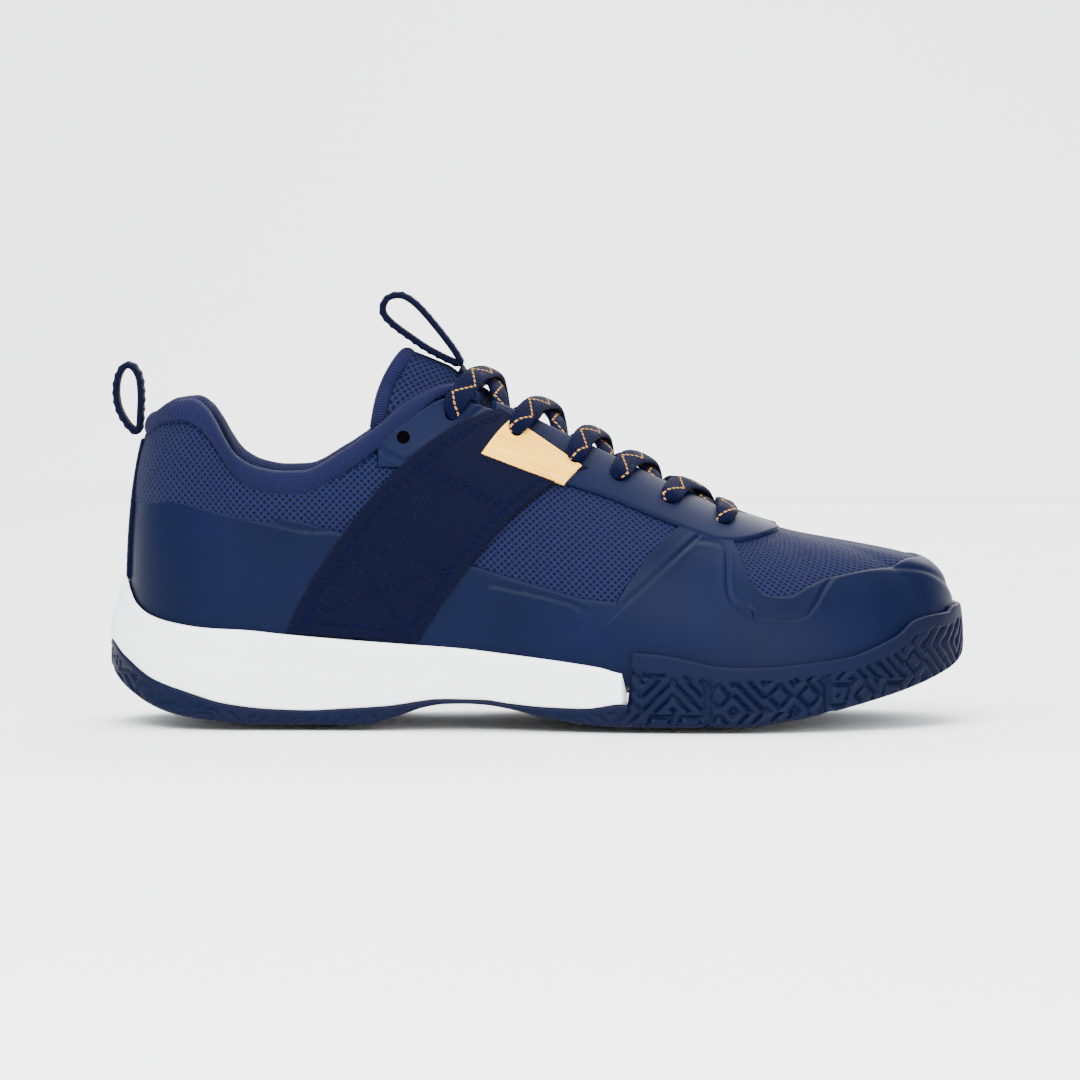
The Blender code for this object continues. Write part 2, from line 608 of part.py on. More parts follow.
def make_tread_cutter():
    """Flex grooves across the forefoot, chevrons between them and under the heel, and the arch window."""
    vertices, faces = [], []

    def add(outline, low, high):
        more_vertices, more_faces = prism(outline, low, high)
        faces.extend(tuple(index + len(vertices) for index in face) for face in more_faces)
        vertices.extend(more_vertices)

    half_flex = FLEX_GROOVE_WIDTH / 2
    for part in FLEX_GROOVES:
        x, low = float(place(part)), float(curve(BOTTOM, part))
        outline = [(x - half_flex, -BALL_WIDTH), (x + half_flex, -BALL_WIDTH), (x + half_flex, BALL_WIDTH),
                   (x - half_flex, BALL_WIDTH)]
        add(outline, low - CUT_BELOW, low + TREAD_DEPTH)
    for part, half in CHEVRONS:
        x, low = float(place(part)), float(curve(BOTTOM, part))
        tip = x + half * TREAD_LEAN
        for side in (-1, 1):
            near, far = side * CHEVRON_START, side * half
            outline = [(x, near), (x + CHEVRON_WIDTH, near), (tip + CHEVRON_WIDTH, far), (tip, far)]
            add(outline[::side], low - CUT_BELOW, low + CHEVRON_DEPTH)
    start, end = float(place(WINDOW_START)), float(place(WINDOW_END))
    half, bevel = WINDOW_HALF_WIDTH, WINDOW_CORNER
    rear = [(start, half - bevel), (start, bevel - half), (start + bevel, -half)]
    front = [(end - bevel, -half), (end, bevel - half), (end, half - bevel), (end - bevel, half)]
    add(rear + front + [(start + bevel, half)], 0, WINDOW_TOP)
    return hide_cutter(finish("tread_cutter", vertices, faces, GREY, smooth=False))


def make_midsole():
    """The white foam: a cup with a lip at the rear, a flat core inside the rubber wrap at the front."""
    ring = sole_rings()
    flare, top, gone, wall_out = sole_sizes(ring)
    at = share(plan(ring)[0][:, 0])
    lip = curve(LIP, at)
    bed = curve(BED, at) - BED_DROP
    low_spot = rim(ring, 0.5, 0)
    under = above_rubber(low_spot) + GAP
    rear = [(CUP_OUT, bed), (CUP_OUT, bed * 0.45 + lip * 0.55), (CUP_OUT + 0.2, lip - 0.2),
            (CUP_OUT + 1.1, lip + 0.2), (CUP_OUT + 2.0, lip - 0.9),
            (flare * 0.35 + (CUP_OUT + 2.2) * 0.65, lip * 0.6 + top * 0.4),
            (flare, lip * 0.25 + top * 0.75), (flare - 0.3, top + GAP), (wall_out - GAP, top + GAP)]
    base = rim(ring, 0, 0)
    profile = []
    for part in INNER_PARTS:
        spot = toward(ring, base, part)
        profile.append(at_height(spot, curve(BED, share(spot[:, 0])) - BED_DROP))
    for (out, height), more_out, drop in zip(rear, FORE_OUT, FORE_DROP):
        level = height * (1 - gone) + (bed - (bed - under) * drop) * gone
        profile.append(rim(ring, out * (1 - gone) + more_out * gone, level))
    foot = rim(ring, (wall_out - GAP - 0.6) * (1 - gone) + 0.5 * gone, 0)
    profile.append(at_height(foot[:, :2], above_rubber(foot) + GAP))
    for part in INNER_PARTS[::-1]:
        spot = toward(ring, base, part)
        profile.append(at_height(spot, above_rubber(spot) + GAP))
    _, ridge = plan(ring)
    obj = ring_solid("midsole", np.stack(profile, axis=1), at_height(ridge, above_rubber(ridge) + GAP),
                     at_height(ridge, curve(BED, share(ridge[:, 0])) - BED_DROP), WHITE)
    cut(obj, hide_cutter(make_shank("shank_pocket", GAP, 4.0)))
    return obj


def make_shank(name, margin, deeper):
    """The arch plate, or with a margin the pocket that takes it."""
    half = SHANK_HALF_WIDTH + margin
    x = np.linspace(place(SHANK_START) - margin, place(SHANK_END) + margin, 14)
    y = np.linspace(-half, half, 4)
    spot = np.stack(np.meshgrid(x, y, indexing="ij"), axis=-1)
    grid = at_height(spot, above_rubber(spot) + GAP + SHANK_THICK + margin)
    return sheet(name, grid, SHANK_THICK + margin + deeper, GREY, inward=True, flat=True)


def make_plate(name, out, top, thickness, colour, first=0.1, last=2.93):
    """A flat layer over the bed, inside the upper."""
    laps = stations(first, last)
    ends = [rim(sign * laps, curve(out, share(plan(laps)[0][:, 0])), 0) for sign in (-1, 1)]
    across = np.linspace(0, 1, 5)[None, :, None]
    grid = ends[0][:, None] * (1 - across) + ends[1][:, None] * across
    grid[..., 2] = (curve(BED, share(plan(laps)[0][:, 0])) + top)[:, None]
    return sheet(name, grid, thickness, colour, inward=True, flat=True)


def make_upper_base():
    """Mesh, stiffeners, foam and linings."""
    toe = round_toe(2.004)
    mesh_top = facing_turn(toe, EYELET_MARGIN)
    grid = columns(toe, toe, 0 * toe, mesh_top, TOE_ROWS, 0.0)
    sheet("vamp_mesh", grid, MESH_THICK, MESH_BLUE, inward=True)
    puff = round_toe(PUFF_START)
    rows = columns(puff, puff, 0 * puff, facing_turn(puff, EYELET_MARGIN), TOE_ROWS, STIFFENER_OUT)
    sheet("toe_puff", rows[:, :PUFF_ROWS], PUFF_THICK, GREY, inward=True)
    join = float(lap(LINING_JOIN))
    sheet("vamp_lining", columns(toe, toe, 0 * toe, mesh_top, TOE_ROWS, LINING_OUT), LINING_THICK, MESH_BLUE,
          inward=True)
    for side, word in ((-1, "lateral"), (1, "medial")):
        ring = side * stations(0.015, 1.996)
        grid = columns(ring, ring, 0 * ring, facing_turn(ring, EYELET_MARGIN), 7, 0.0)
        sheet(f"quarter_mesh_{word}", grid, MESH_THICK, MESH_BLUE, inward=True)
        ring = side * stations(join + 0.01, 1.996)
        grid = columns(ring, ring, 0 * ring, facing_turn(ring, EYELET_MARGIN), 6, LINING_OUT)
        sheet(f"quarter_lining_{word}", grid, LINING_THICK, MESH_BLUE, inward=True)
        ring = side * stations(0.02, join - 0.03)
        low = turn_at_height(ring, FOAM_BOTTOM)
        grid = columns(ring, ring, low, edge_turn(ring) - 0.02, 5, STIFFENER_OUT)
        sheet(f"collar_foam_{word}", grid, FOAM_THICK, GREY, inward=True)
    ring = stations(-join, join)
    sheet("collar_lining", columns(ring, ring, 0 * ring, edge_turn(ring) - 0.04, 6, COLLAR_LINING_OUT),
          LINING_THICK, KNIT_BLUE, inward=True)
    ring = stations(-float(lap(COUNTER_END)), float(lap(COUNTER_END)))
    grid = columns(ring, ring, 0 * ring + 0.02, turn_at_height(ring, COUNTER_TOP), 6, STIFFENER_OUT)
    sheet("heel_counter", grid, COUNTER_THICK, GREY, inward=True)


def make_collar_binding():
    """Knit band folded over the collar's edge, from one side of the throat round the heel to the other."""
    end = float(lap(BINDING_END))
    steep = lap(np.array([0.1, 0.12]))
    ring = stations(-end, end, extra=np.concatenate([-steep, steep]))
    top = edge_turn(ring)
    tangent = wall(ring, top) - wall(ring, top - 0.01)
    speed = np.linalg.norm(tangent, axis=-1) / 0.01
    tangent /= np.linalg.norm(tangent, axis=-1, keepdims=True)
    at = share(plan(ring)[0][:, 0])
    deep = 1 - 0.6 * np.clip((at - 0.31) / 0.03, 0, 1)
    short = 1 - 0.45 * np.clip((at - 0.34) / 0.03, 0, 1)
    rows = []
    for out, up in BINDING_SECTION:
        out = np.where(out < 0, out * deep, out)
        point = wall(ring, top + min(up, 0) * short / speed, out) + tangent * max(up, 0)
        rows.append(point)
    grid = np.stack(rows, axis=1)
    across, down = grid.shape[:2]
    faces = grid_faces(across, down, closed_down=True)
    faces += [tuple(range(down)), tuple(reversed(range((across - 1) * down, across * down)))]
    face_outwards(finish("collar_binding", grid, faces, KNIT_BLUE))


def side_columns(side, low_line, high_line, count, rows, out):
    """Grid between two lines on the shoe's side, each (share of the length, height) from rear to front."""
    at = np.linspace(0, 1, count)

    def spread(line):
        keys, heights = np.array(line, float).T
        place_on = np.interp(at, np.linspace(0, 1, len(keys)), keys)
        return place_on, np.interp(at, np.linspace(0, 1, len(keys)), heights)

    low_at, low_height = spread(low_line)
    high_at, high_height = spread(high_line)
    ring_low, ring_high = side * lap(low_at), side * lap(high_at)
    turn_low = turn_at_height(ring_low, low_height)
    turn_high = turn_at_height(ring_high, high_height)
    return columns(ring_low, ring_high, turn_low, turn_high, rows, out)


def make_overlays(eyelet_cutters):
    """Smooth skins, strap and eyelet facings on the outside of the mesh."""
    start = float(lap(TOE_SKIN_START))
    toe = round_toe(start)
    around = np.abs(toe)
    lean = np.clip((TOE_SKIN_UPRIGHT - around) / (TOE_SKIN_UPRIGHT - start), 0, 1) * TOE_SKIN_LEAN
    high = np.sign(toe) * (around + lean)
    cap = curve(TOE_SKIN_EDGE, np.abs(high))
    base, ridge = plan(high)
    top = turn_at_distance(high, cap * np.linalg.norm(base - ridge, axis=-1))
    sheet("toe_overlay", columns(toe, high, 0 * toe, top, 9, OVERLAY_OUT + 0.1), OVERLAY_THICK - 0.1, NAVY)

    facing = round_toe(float(lap(FACING_START)))
    grid = columns(facing, facing, facing_turn(facing, FACING_MARGIN), edge_turn(facing), 5, OVERLAY_OUT)
    eyestay = sheet("eyestay", grid, EYESTAY_THICK, NAVY)
    for side, word in ((-1, "lateral"), (1, "medial")):
        cutter = eyelet_cutters[side]
        cut(eyestay, cutter)
        ring = stations(0.03, float(lap(HEEL_SKIN_END)))
        front = ring + 0.05 * ring / ring[-1]
        high_turn = turn_at_height(side * front, curve(HEEL_SKIN_TOP, share(plan(front)[0][:, 0])))
        grid = columns(side * ring, side * front, 0 * ring, high_turn, 7, OVERLAY_OUT)
        sheet(f"heel_overlay_{word}", grid, OVERLAY_THICK, NAVY)
        grid = side_columns(side, MIDFOOT_LOW, MIDFOOT_HIGH, 12, 5, OVERLAY_OUT)
        sheet(f"midfoot_overlay_{word}", grid, OVERLAY_THICK, NAVY)
        grid = side_columns(side, STRAP_LOW, STRAP_HIGH, 7, 16, STRAP_OUT)
        cut(sheet(f"webbing_strap_{word}", grid, STRAP_THICK, STRAP_BLUE), cutter)
        grid = side_columns(side, FOIL_LOW, FOIL_HIGH, 5, 5, FOIL_OUT)
        cut(sheet(f"foil_bar_{word}", grid, FOIL_THICK, GOLD), cutter)
        ring = side * stations(float(lap(TAB_START)), float(lap(TAB_END)))
        above = lower(ring, edge_turn(ring), TAB_BELOW_EDGE)
        grid = columns(ring, ring, facing_turn(ring, FACING_MARGIN), above, 5, OVERLAY_OUT)
        cut(sheet(f"eyelet_tab_{word}", grid, EYESTAY_THICK, NAVY), cutter)
    ring = np.linspace(-HEEL_STRIP_HALF_RING, HEEL_STRIP_HALF_RING, 5)
    low, high = turn_at_height(ring, HEEL_STRIP_BOTTOM), turn_at_height(ring, HEEL_STRIP_TOP)
    sheet("heel_seam_strip", columns(ring, ring, low, high, 8, STRAP_OUT), STRAP_THICK, STRAP_BLUE)


def eyelet_place(side, part, distance):
    """Ring coordinate and turn of an eyelet."""
    x = float(place(part))
    if x <= BALL_X:
        ring = side * float(lap(part))
        return ring, float(turn_at_distance(ring, distance * slimmer(ring)))
    low, high = 2.0, 3.0
    for _ in range(40):
        middle = (low + high) / 2
        ring = side * middle
        reach_x = float(bare(ring, turn_at_distance(ring, distance))[0])
        low, high = (middle, high) if reach_x < x else (low, middle)
    return ring, float(turn_at_distance(ring, distance))


def make_eyelet_cutters():
    """For each side, a pin through every eyelet."""
    cutters = {}
    for side, word in ((-1, "lateral"), (1, "medial")):
        vertices, faces = [], []
        for part, distance in EYELETS + [SPARE_EYELET]:
            ring, turn = eyelet_place(side, part, distance)
            centre, tip = wall(ring, turn, 0.0), wall(ring, turn, 1.0)
            axis = (tip - centre) / np.linalg.norm(tip - centre)
            first = np.cross(axis, [1, 0, 0])
            first /= np.linalg.norm(first)
            second = np.cross(axis, first)
            count = 10
            angles = np.arange(count) * 2 * math.pi / count
            circle = EYELET_RADIUS * (np.cos(angles)[:, None] * first + np.sin(angles)[:, None] * second)
            start = len(vertices)
            vertices += list(centre - 2.5 * axis + circle) + list(centre + 7 * axis + circle)
            faces.append(tuple(start + i for i in reversed(range(count))))
            faces.append(tuple(start + count + i for i in range(count)))
            faces += [(start + i, start + (i + 1) % count, start + (i + 1) % count + count, start + i + count)
                      for i in range(count)]
        cutters[side] = hide_cutter(finish(f"eyelet_cutter_{word}", vertices, faces, GREY, smooth=False))
    return cutters


def over(x, y, out):
    """Point over the instep, seen from above at x and y, at a distance out from the last."""
    side = 1 if y >= float(curve(RIDGE_Y, np.clip((x - HEEL_X) / (BALL_X - HEEL_X), 0, 1))) else -1
    if x <= BALL_X:
        ring = side * (1 + (x - HEEL_X) / (BALL_X - HEEL_X))
    else:
        low, high = 2.0, 3.0
        for _ in range(40):
            middle = (low + high) / 2
            base, ridge = plan(side * middle)
            ahead = np.cross(base - ridge, np.array([x, y]) - ridge) * side
            low, high = (middle, high) if ahead < 0 else (low, middle)
        ring = side * middle
    base, ridge = plan(ring)
    distance = np.linalg.norm(np.array([x, y]) - ridge)
    return wall(ring, turn_at_distance(ring, distance), out)


def tongue_grid(first, last, rows, out, columns_across=9):
    """Points over the tongue, from its front to its top, at a depth under its outer face."""
    down = np.linspace(first, last, rows)
    across = np.linspace(-1, 1, columns_across)
    front, top = float(place(TONGUE_FRONT)), float(place(TONGUE_TOP))
    grid = np.zeros((columns_across, rows, 3))
    for j, s in enumerate(across):
        for i, t in enumerate(down):
            x = front + (top - TONGUE_SWEEP * abs(s) ** 1.5 * t**3 - front) * t
            along = np.clip((x - HEEL_X) / (BALL_X - HEEL_X), 0, 1)
            half = float(curve(TONGUE_HALF_WIDTH, t)) * float(slimmer(math.copysign(1 + along, s)))
            y = float(curve(RIDGE_Y, along)) + s * half
            aside = min(abs(s) / 0.7, 1)
            swell = 1 - aside**2 * (3 - 2 * aside)
            depth = float(curve(TONGUE_EDGE, t)) * (1 - swell) + float(curve(TONGUE_CROWN, t)) * swell
            spot = over(x, y, 0)
            upright = np.clip((x - 40) / 15, 0, 1)
            square = (over(x, y, 1) - spot) * (1 - upright) + np.array([0, 0, 1]) * upright
            grid[j, i] = spot + square / np.linalg.norm(square) * (depth + out)
    return grid


def make_tongue():
    """The tongue's face, foam, lining and rolled top edge, on the hinge at its front."""
    end = TONGUE_LAYERS_END

    def layer(name, out, thickness, colour):
        return slab(name, tongue_grid(0, end, 12, out), tongue_grid(0, end, 12, out - thickness), colour)

    face = layer("tongue_face", 0, TONGUE_FACE_THICK, MESH_BLUE)
    foam_out = -TONGUE_FACE_THICK - GAP
    foam = layer("tongue_foam", foam_out, TONGUE_FOAM_THICK, GREY)
    lining_out = foam_out - TONGUE_FOAM_THICK - GAP
    lining = layer("tongue_lining", lining_out, LINING_THICK, MESH_BLUE)
    middle = (lining_out - LINING_THICK) / 2
    edge = tongue_grid(0, 1, 30, middle, 13)[:, -1]
    inner = tongue_grid(0, end, 30, middle, 13)[:, -1]
    back = (edge - inner) / np.linalg.norm(edge - inner, axis=-1, keepdims=True)
    binding = tube("tongue_binding", smooth_path(inner + back * (TONGUE_BINDING_RADIUS + GAP), 2),
                   TONGUE_BINDING_RADIUS, KNIT_BLUE, sides=2)
    pivot = tongue_grid(0, 1, 2, middle, 3)[1, 0]
    hinge = add_empty("tongue_hinge", pivot)
    for obj in (face, foam, lining, binding):
        hang(obj, hinge)
    return hinge


def add_empty(name, spot):
    """A pivot, marked by an empty."""
    empty = bpy.data.objects.new(name, None)
    empty.location = [float(value) * MM for value in spot]
    empty.empty_display_size = 0.01
    SHOE.objects.link(empty)
    return empty


def hang(obj, parent):
    """Parents an object without moving it; the parent stands unturned."""
    obj.parent = parent
    place_of = parent.location.copy()
    if parent.parent:
        place_of += parent.parent.location
    obj.location = obj.location - place_of


def make_loop(name, pivot, points, y):
    """A loop of tape round a pivot."""
    path = smooth_path([(pivot[0] + a, y, pivot[1] + b) for a, b in points + points[:1]], 2)[:-1]
    width = np.array([0, LOOP_WIDTH / 2, 0])
    grid = np.stack([path - width, path + width], axis=1)
    across, down = grid.shape[:2]
    obj = finish(name, grid, grid_faces(across, down, closed_across=True), STRAP_BLUE)
    thicken = obj.modifiers.new("thickness", "SOLIDIFY")
    thicken.thickness = LOOP_THICK * MM
    thicken.offset = 0
    thicken.use_even_offset = True
    hinge = add_empty(name + "_hinge", (pivot[0], y, pivot[1]))
    hang(obj, hinge)
    return hinge


def lace_path():
    """The whole lace, from its end under the outer facing to the one under the inner facing."""

    def side_spot(side, row):
        ring, turn = eyelet_place(side, *EYELETS[row])
        return bare(ring, turn)[:2]

    def ridge_y(x):
        return float(curve(RIDGE_Y, np.clip((x - HEEL_X) / (BALL_X - HEEL_X), 0, 1)))

    def above(row):
        return 5.1 if row in (3, 4) else 3.5

    def crossing(side, row, high):
        """From a row's hole on one side, under its facing, over the other one, into the next hole there."""
        start, end = side_spot(side, row), side_spot(-side, row + 1)
        step = end[0] - start[0]
        gap = float(curve(THROAT_HALF_GAP, share((start[0] + end[0]) / 2)))
        middle_x = start[0] + step * 0.42
        late_x = start[0] + step * 0.68
        lift = 5.0 if high else 1.2
        lift += {4: 1.4, 3: 0.6}.get(row, 0)
        lift -= {0: 0.6}.get(row, 0)
        return [
            over(start[0], start[1], above(row) - 1.7),
            over(start[0], start[1], -0.1),
            over(start[0] + step * 0.06, start[1] - side * 1.8, -1.9),
            over(start[0] + step * 0.14, ridge_y(start[0]) + side * (gap + 1.5), -1.9),
            over(start[0] + step * 0.27, ridge_y(start[0]) + side * gap * 0.55, lift * 0.3),
            over(middle_x, ridge_y(middle_x), lift),
            over(late_x, ridge_y(end[0]) - side * gap * 0.75, (lift + above(row + 1) + 0.8) / 2),
            over(start[0] + step * 0.84, ridge_y(end[0]) - side * (gap + 2.5), above(row + 1)),
            over(end[0] - step * 0.03, end[1] + side * 1.9, above(row + 1)),
        ]

    def tail(side):
        last = side_spot(side, 5)
        points = [over(last[0], last[1], above(5) - 1.7), over(last[0], last[1], -0.1),
                  over(last[0] + 1.2, last[1] + side * 0.8, -1.9)]
        ring = side * lap(np.array([0.41, 0.435, 0.465, 0.5, 0.53, 0.553]))
        turn = lower(ring, row_turn(ring), 4.1)
        return points + list(wall(ring, turn, -1.95))

    def half(side):
        """From the first hole on a side up to the tucked end."""
        points, here = [], side
        for row in range(5):
            points += crossing(here, row, high=(row % 2 == 0) == (side > 0))
            here = -here
        return points + tail(here)

    bar = [over(*side_spot(-1, 0) + np.array([0.6, 2.2]), 3.3)]
    first_x = side_spot(1, 0)[0] + 1.2
    for y in (-13, -4.5, 4.5, 11.5, 17.5):
        bar.append(over(first_x, y, 3.4 if abs(y) > 12 else 2.4))
    bar.append(over(*side_spot(1, 0) + np.array([0.6, -2.2]), 3.3))
    return half(-1)[::-1] + bar + half(1)


def make_lace():
    """The lace and its two hard ends."""
    path = smooth_path(lace_path(), 2)
    tube("lace", path, LACE_RADIUS, NAVY)
    ends = ((path[0], path[0] - path[2], "lateral"), (path[-1], path[-1] - path[-3], "medial"))
    for end, away, word in ends:
        away = away / np.linalg.norm(away)
        aglet = [end + away * GAP, end + away * (GAP + AGLET_LENGTH)]
        tube(f"aglet_{word}", aglet, AGLET_RADIUS, GREY)


def clear_scene():
    """Removes every object."""
    for obj in list(bpy.data.objects):
        bpy.data.objects.remove(obj, do_unlink=True)


clear_scene()
SHOE = bpy.data.collections.new("court_shoe")
CUTTERS = bpy.data.collections.new("cutters")
CUTTERS.hide_render = True
bpy.context.scene.collection.children.link(SHOE)
bpy.context.scene.collection.children.link(CUTTERS)

make_outsole()
make_midsole()
make_shank("shank_plate", 0, 0)
make_plate("strobel_board", [(0, -0.3), (1, -0.3)], -GAP, BOARD_THICK, GREY)
make_upper_base()
make_collar_binding()
make_overlays(make_eyelet_cutters())
sockliner = make_plate("sockliner", SOCKLINER_OUT, SOCKLINER_THICK, SOCKLINER_THICK, NAVY, 0.12, 2.85)
lift_height = float(curve(BED, SOCKLINER_HINGE)) + SOCKLINER_THICK / 2
lift_spot = (float(place(SOCKLINER_HINGE)), RIDGE_Y[-1][1], lift_height)
hang(sockliner, add_empty("sockliner_hinge", lift_spot))
tongue_hinge = make_tongue()
tongue_loop_hinge = make_loop("tongue_pull_loop", TONGUE_PIVOT, TONGUE_LOOP, 1.5)
hang(tongue_loop_hinge, tongue_hinge)
make_loop("heel_pull_loop", HEEL_PIVOT, HEEL_LOOP, 0.0)
make_lace()
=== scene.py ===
"""Looks of a racket-sports court shoe, built around its fixed frame.

Sizes are in millimetres until a mesh is made, and then in metres. +X points to the toe, +Y to the inner
(medial) side and +Z up. The upper is laid over a last. A place on it has a ring coordinate, which runs round
the foot (0 back of the heel, 1 heel's centre, 2 ball, 3 toe tip, negative on the outer side), and a turn over
the foot (0 at the feather edge, a quarter turn at the ridge of the instep).
"""

import math

import bmesh
import bpy
import numpy as np
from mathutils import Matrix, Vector


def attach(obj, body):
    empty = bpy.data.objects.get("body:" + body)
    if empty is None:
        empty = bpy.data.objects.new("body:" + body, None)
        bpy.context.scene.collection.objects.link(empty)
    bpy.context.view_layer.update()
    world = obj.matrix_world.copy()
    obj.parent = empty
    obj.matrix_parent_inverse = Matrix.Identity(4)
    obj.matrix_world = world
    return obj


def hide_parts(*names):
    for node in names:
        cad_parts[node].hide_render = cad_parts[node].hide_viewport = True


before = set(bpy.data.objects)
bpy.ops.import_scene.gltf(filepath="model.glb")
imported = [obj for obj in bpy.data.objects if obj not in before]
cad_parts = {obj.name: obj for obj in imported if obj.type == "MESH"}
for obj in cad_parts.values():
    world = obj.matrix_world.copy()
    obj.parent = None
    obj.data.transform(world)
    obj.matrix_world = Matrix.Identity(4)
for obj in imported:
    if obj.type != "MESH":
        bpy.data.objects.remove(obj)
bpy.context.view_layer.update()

bl_info = {
    "name": "Court Shoe Looks",
    "version": (1, 0, 0),
    "blender": (4, 5, 0),
    "location": "3D View > Sidebar > Court Shoe",
    "description": "Builds the fabrics, skins, soles, lace and stitching of a court shoe on its frame",
    "category": "Add Mesh",
}

MM = 0.001
QUARTER = math.pi / 2

# The last, as the frame holds it
UPPER_LENGTH = 285.8
AHEAD = 1.9
HEEL_REACH = 36.0
TOE_REACH = 84.8
TOE_TIP_Y = 8.0
TOE_SQUARENESS = 2.2
BALL_WIDTH = 100.0
LATERAL_WIDTH = [(0, 0.34), (0.27, 0.36), (0.5, 0.393), (0.8, 0.472), (1, 0.4975)]
MEDIAL_WIDTH = [(0, 0.33), (0.24, 0.32), (0.45, 0.336), (0.7, 0.414), (1, 0.4975)]
RIDGE_Y = [(0, 0), (0.5, 1.5), (1, 3)]
ROOF = [(0, 133), (0.213, 133), (0.283, 131.5), (0.329, 128), (0.392, 120.5), (0.448, 113.5), (0.5, 106),
        (0.567, 95.5), (0.626, 86), (0.686, 77), (0.738, 69.5), (0.773, 66), (0.808, 63.3), (0.85, 61),
        (0.896, 58.6), (0.931, 56.8), (0.966, 55), (1, 53)]
BED = [(0, 25), (0.094, 24), (0.283, 22), (0.42, 18.5), (0.567, 14.5), (0.703, 13.5), (0.85, 16.5),
       (0.931, 20), (1, 27)]
ROUNDNESS = [(0, 2), (0.126, 2.1), (0.297, 2.6), (0.388, 2.6), (0.465, 2.2), (0.539, 1.85), (0.661, 1.85),
             (0.721, 2), (0.85, 3), (0.959, 7), (1, 18)]
UPRIGHTNESS = [(0, 3), (0.13, 2.8), (0.3, 2.2), (0.45, 2), (1, 2)]
COLLAR_EDGE = [(0, 104), (0.026, 108.3), (0.056, 109), (0.08, 106.5), (0.1, 101.5), (0.118, 94.8),
               (0.136, 88.8), (0.157, 85.7), (0.185, 84.3), (0.211, 84.5), (0.258, 91.2), (0.283, 96),
               (0.308, 101.5), (0.332, 107.2), (0.358, 111.8), (0.378, 114), (0.396, 114.5)]
THROAT_HALF_GAP = [(0.358, 20), (0.399, 18), (0.458, 15.5), (0.5, 14), (0.567, 12.5), (0.703, 10.5)]
THROAT_START = 0.385
THROAT_BLEND = 0.03
THROAT_FRONT = 12.0
EYELETS = [(0.715, 22), (0.649, 22), (0.588, 22), (0.535, 22.5), (0.465, 23), (0.389, 25)]
SPARE_EYELET = (0.332, 29.3)
EYELET_MARGIN = 7.0
ROWS_ON_STRAP = (3, 4)  # eyelets that go through the strap's upper end too
# painted shade: near-black colour of the discs that stand for the shadow inside the eyelet holes
EYELET_SHADE = (0.0003, 0.0003, 0.0006)

# Edges of the layers: shares of the length, (share of the length, height) lines, or ring coordinates
TOE_SKIN_START = 0.535
TOE_SKIN_UPRIGHT = 2.05  # ring coordinate where the skin's columns stop leaning forward
TOE_SKIN_LEAN = 0.235
TOE_SKIN_EDGE = [(1.7, 0.9), (1.9, 0.74), (1.94, 0.55), (1.955, 0.5), (2.065, 0.5), (2.08, 0.6), (2.1, 0.79),
                 (2.14, 0.84), (2.2, 0.85), (2.28, 0.82), (2.36, 0.8), (2.5, 0.81), (2.7, 0.84), (3, 0.86)]
HEEL_SKIN_END = 0.27
HEEL_SKIN_LEAN = 0.05
HEEL_SKIN_TOP = [(0, 84), (0.044, 82), (0.091, 78), (0.15, 74), (0.21, 69.5), (0.31, 63)]
MIDFOOT_LOW = [(0.278, 0), (0.4, 0), (0.575, 0)]
MIDFOOT_HIGH = [(0.313, 60), (0.4, 56), (0.45, 51.5), (0.497, 47.5), (0.545, 43.5), (0.63, 41)]
FACING_START = 0.438
FACING_MARGIN = EYELET_MARGIN + 4
TAB_START = 0.3
TAB_END = 0.45
TAB_BELOW_EDGE = 4.4
STRAP_LOW = [(0.192, 31), (0.35, 28)]
STRAP_HIGH = [(0.446, 106.5), (0.553, 86)]
FOIL_LOW = [(0.424, 91.5), (0.523, 80.5)]
FOIL_HIGH = [(0.46, 103), (0.545, 86.5)]
HEEL_STRIP_HALF_RING = 0.15
HEEL_STRIP_BOTTOM = 48.0
HEEL_STRIP_TOP = 96.0
COLLAR_END = 0.42
COLLAR_SECTION = [(0.5, -6.3), (1.5, -5.6), (2.3, -3.4), (2.1, -0.8), (0.6, 1.5), (-2.8, 2.5), (-5.9, 1.5),
                  (-7.8, -0.4), (-8.3, -3), (-8.0, -5.6), (-7.0, -6.2), (-6.0, -3.5), (-3.5, -1.0),
                  (-0.8, -1.5), (0.1, -3.6)]  # (out from the mesh, up from the collar's edge)
LINING_JOIN = 0.287
INSOLE_OUT = [(0, -8), (0.3, -8), (0.36, -4.8), (0.75, -4.8), (0.88, -5.8), (1, -6)]  # from the last

# The sole, as the frame holds it
BOTTOM = [(-0.026, 24), (-0.021, 19), (-0.012, 14.5), (0.001, 10.9), (0.024, 6.8), (0.049, 4), (0.073, 2.5),
          (0.119, 1), (0.157, 0), (0.287, 0), (0.311, 1.7), (0.334, 3.9), (0.358, 6.2), (0.381, 7.3),
          (0.406, 7.5), (0.429, 7.2), (0.453, 6.2), (0.477, 4.7), (0.5, 3), (0.524, 1.9), (0.556, 0.8),
          (0.598, 0), (0.738, 0), (0.786, 1.8), (0.829, 4), (0.899, 8.7), (0.941, 12), (0.976, 15.5),
          (1.001, 19.5), (1.012, 26)]
RUBBER_THICK = [(0, 3), (0.3, 2.5), (0.36, 1.6), (0.46, 1.5), (0.52, 2.6), (0.6, 3.2), (1, 3.2)]
LIP = [(0, 48), (0.005, 44.5), (0.014, 39.8), (0.031, 36.3), (0.056, 34.2), (0.098, 32.5), (0.145, 31.8),
       (0.189, 30.5), (0.246, 29.1), (0.329, 27.4), (0.401, 26), (0.448, 24.5), (0.52, 22), (0.567, 20),
       (0.597, 18)]
RUBBER_TOP = [(-0.026, 27), (-0.006, 22.3), (0.031, 15), (0.073, 11), (0.119, 7.3), (0.168, 5.5), (0.215, 5),
              (0.262, 5.6), (0.311, 6.5), (0.381, 9), (0.43, 8.8), (0.455, 7.8), (0.5, 6.6), (0.548, 6.2),
              (0.593, 7.8)]
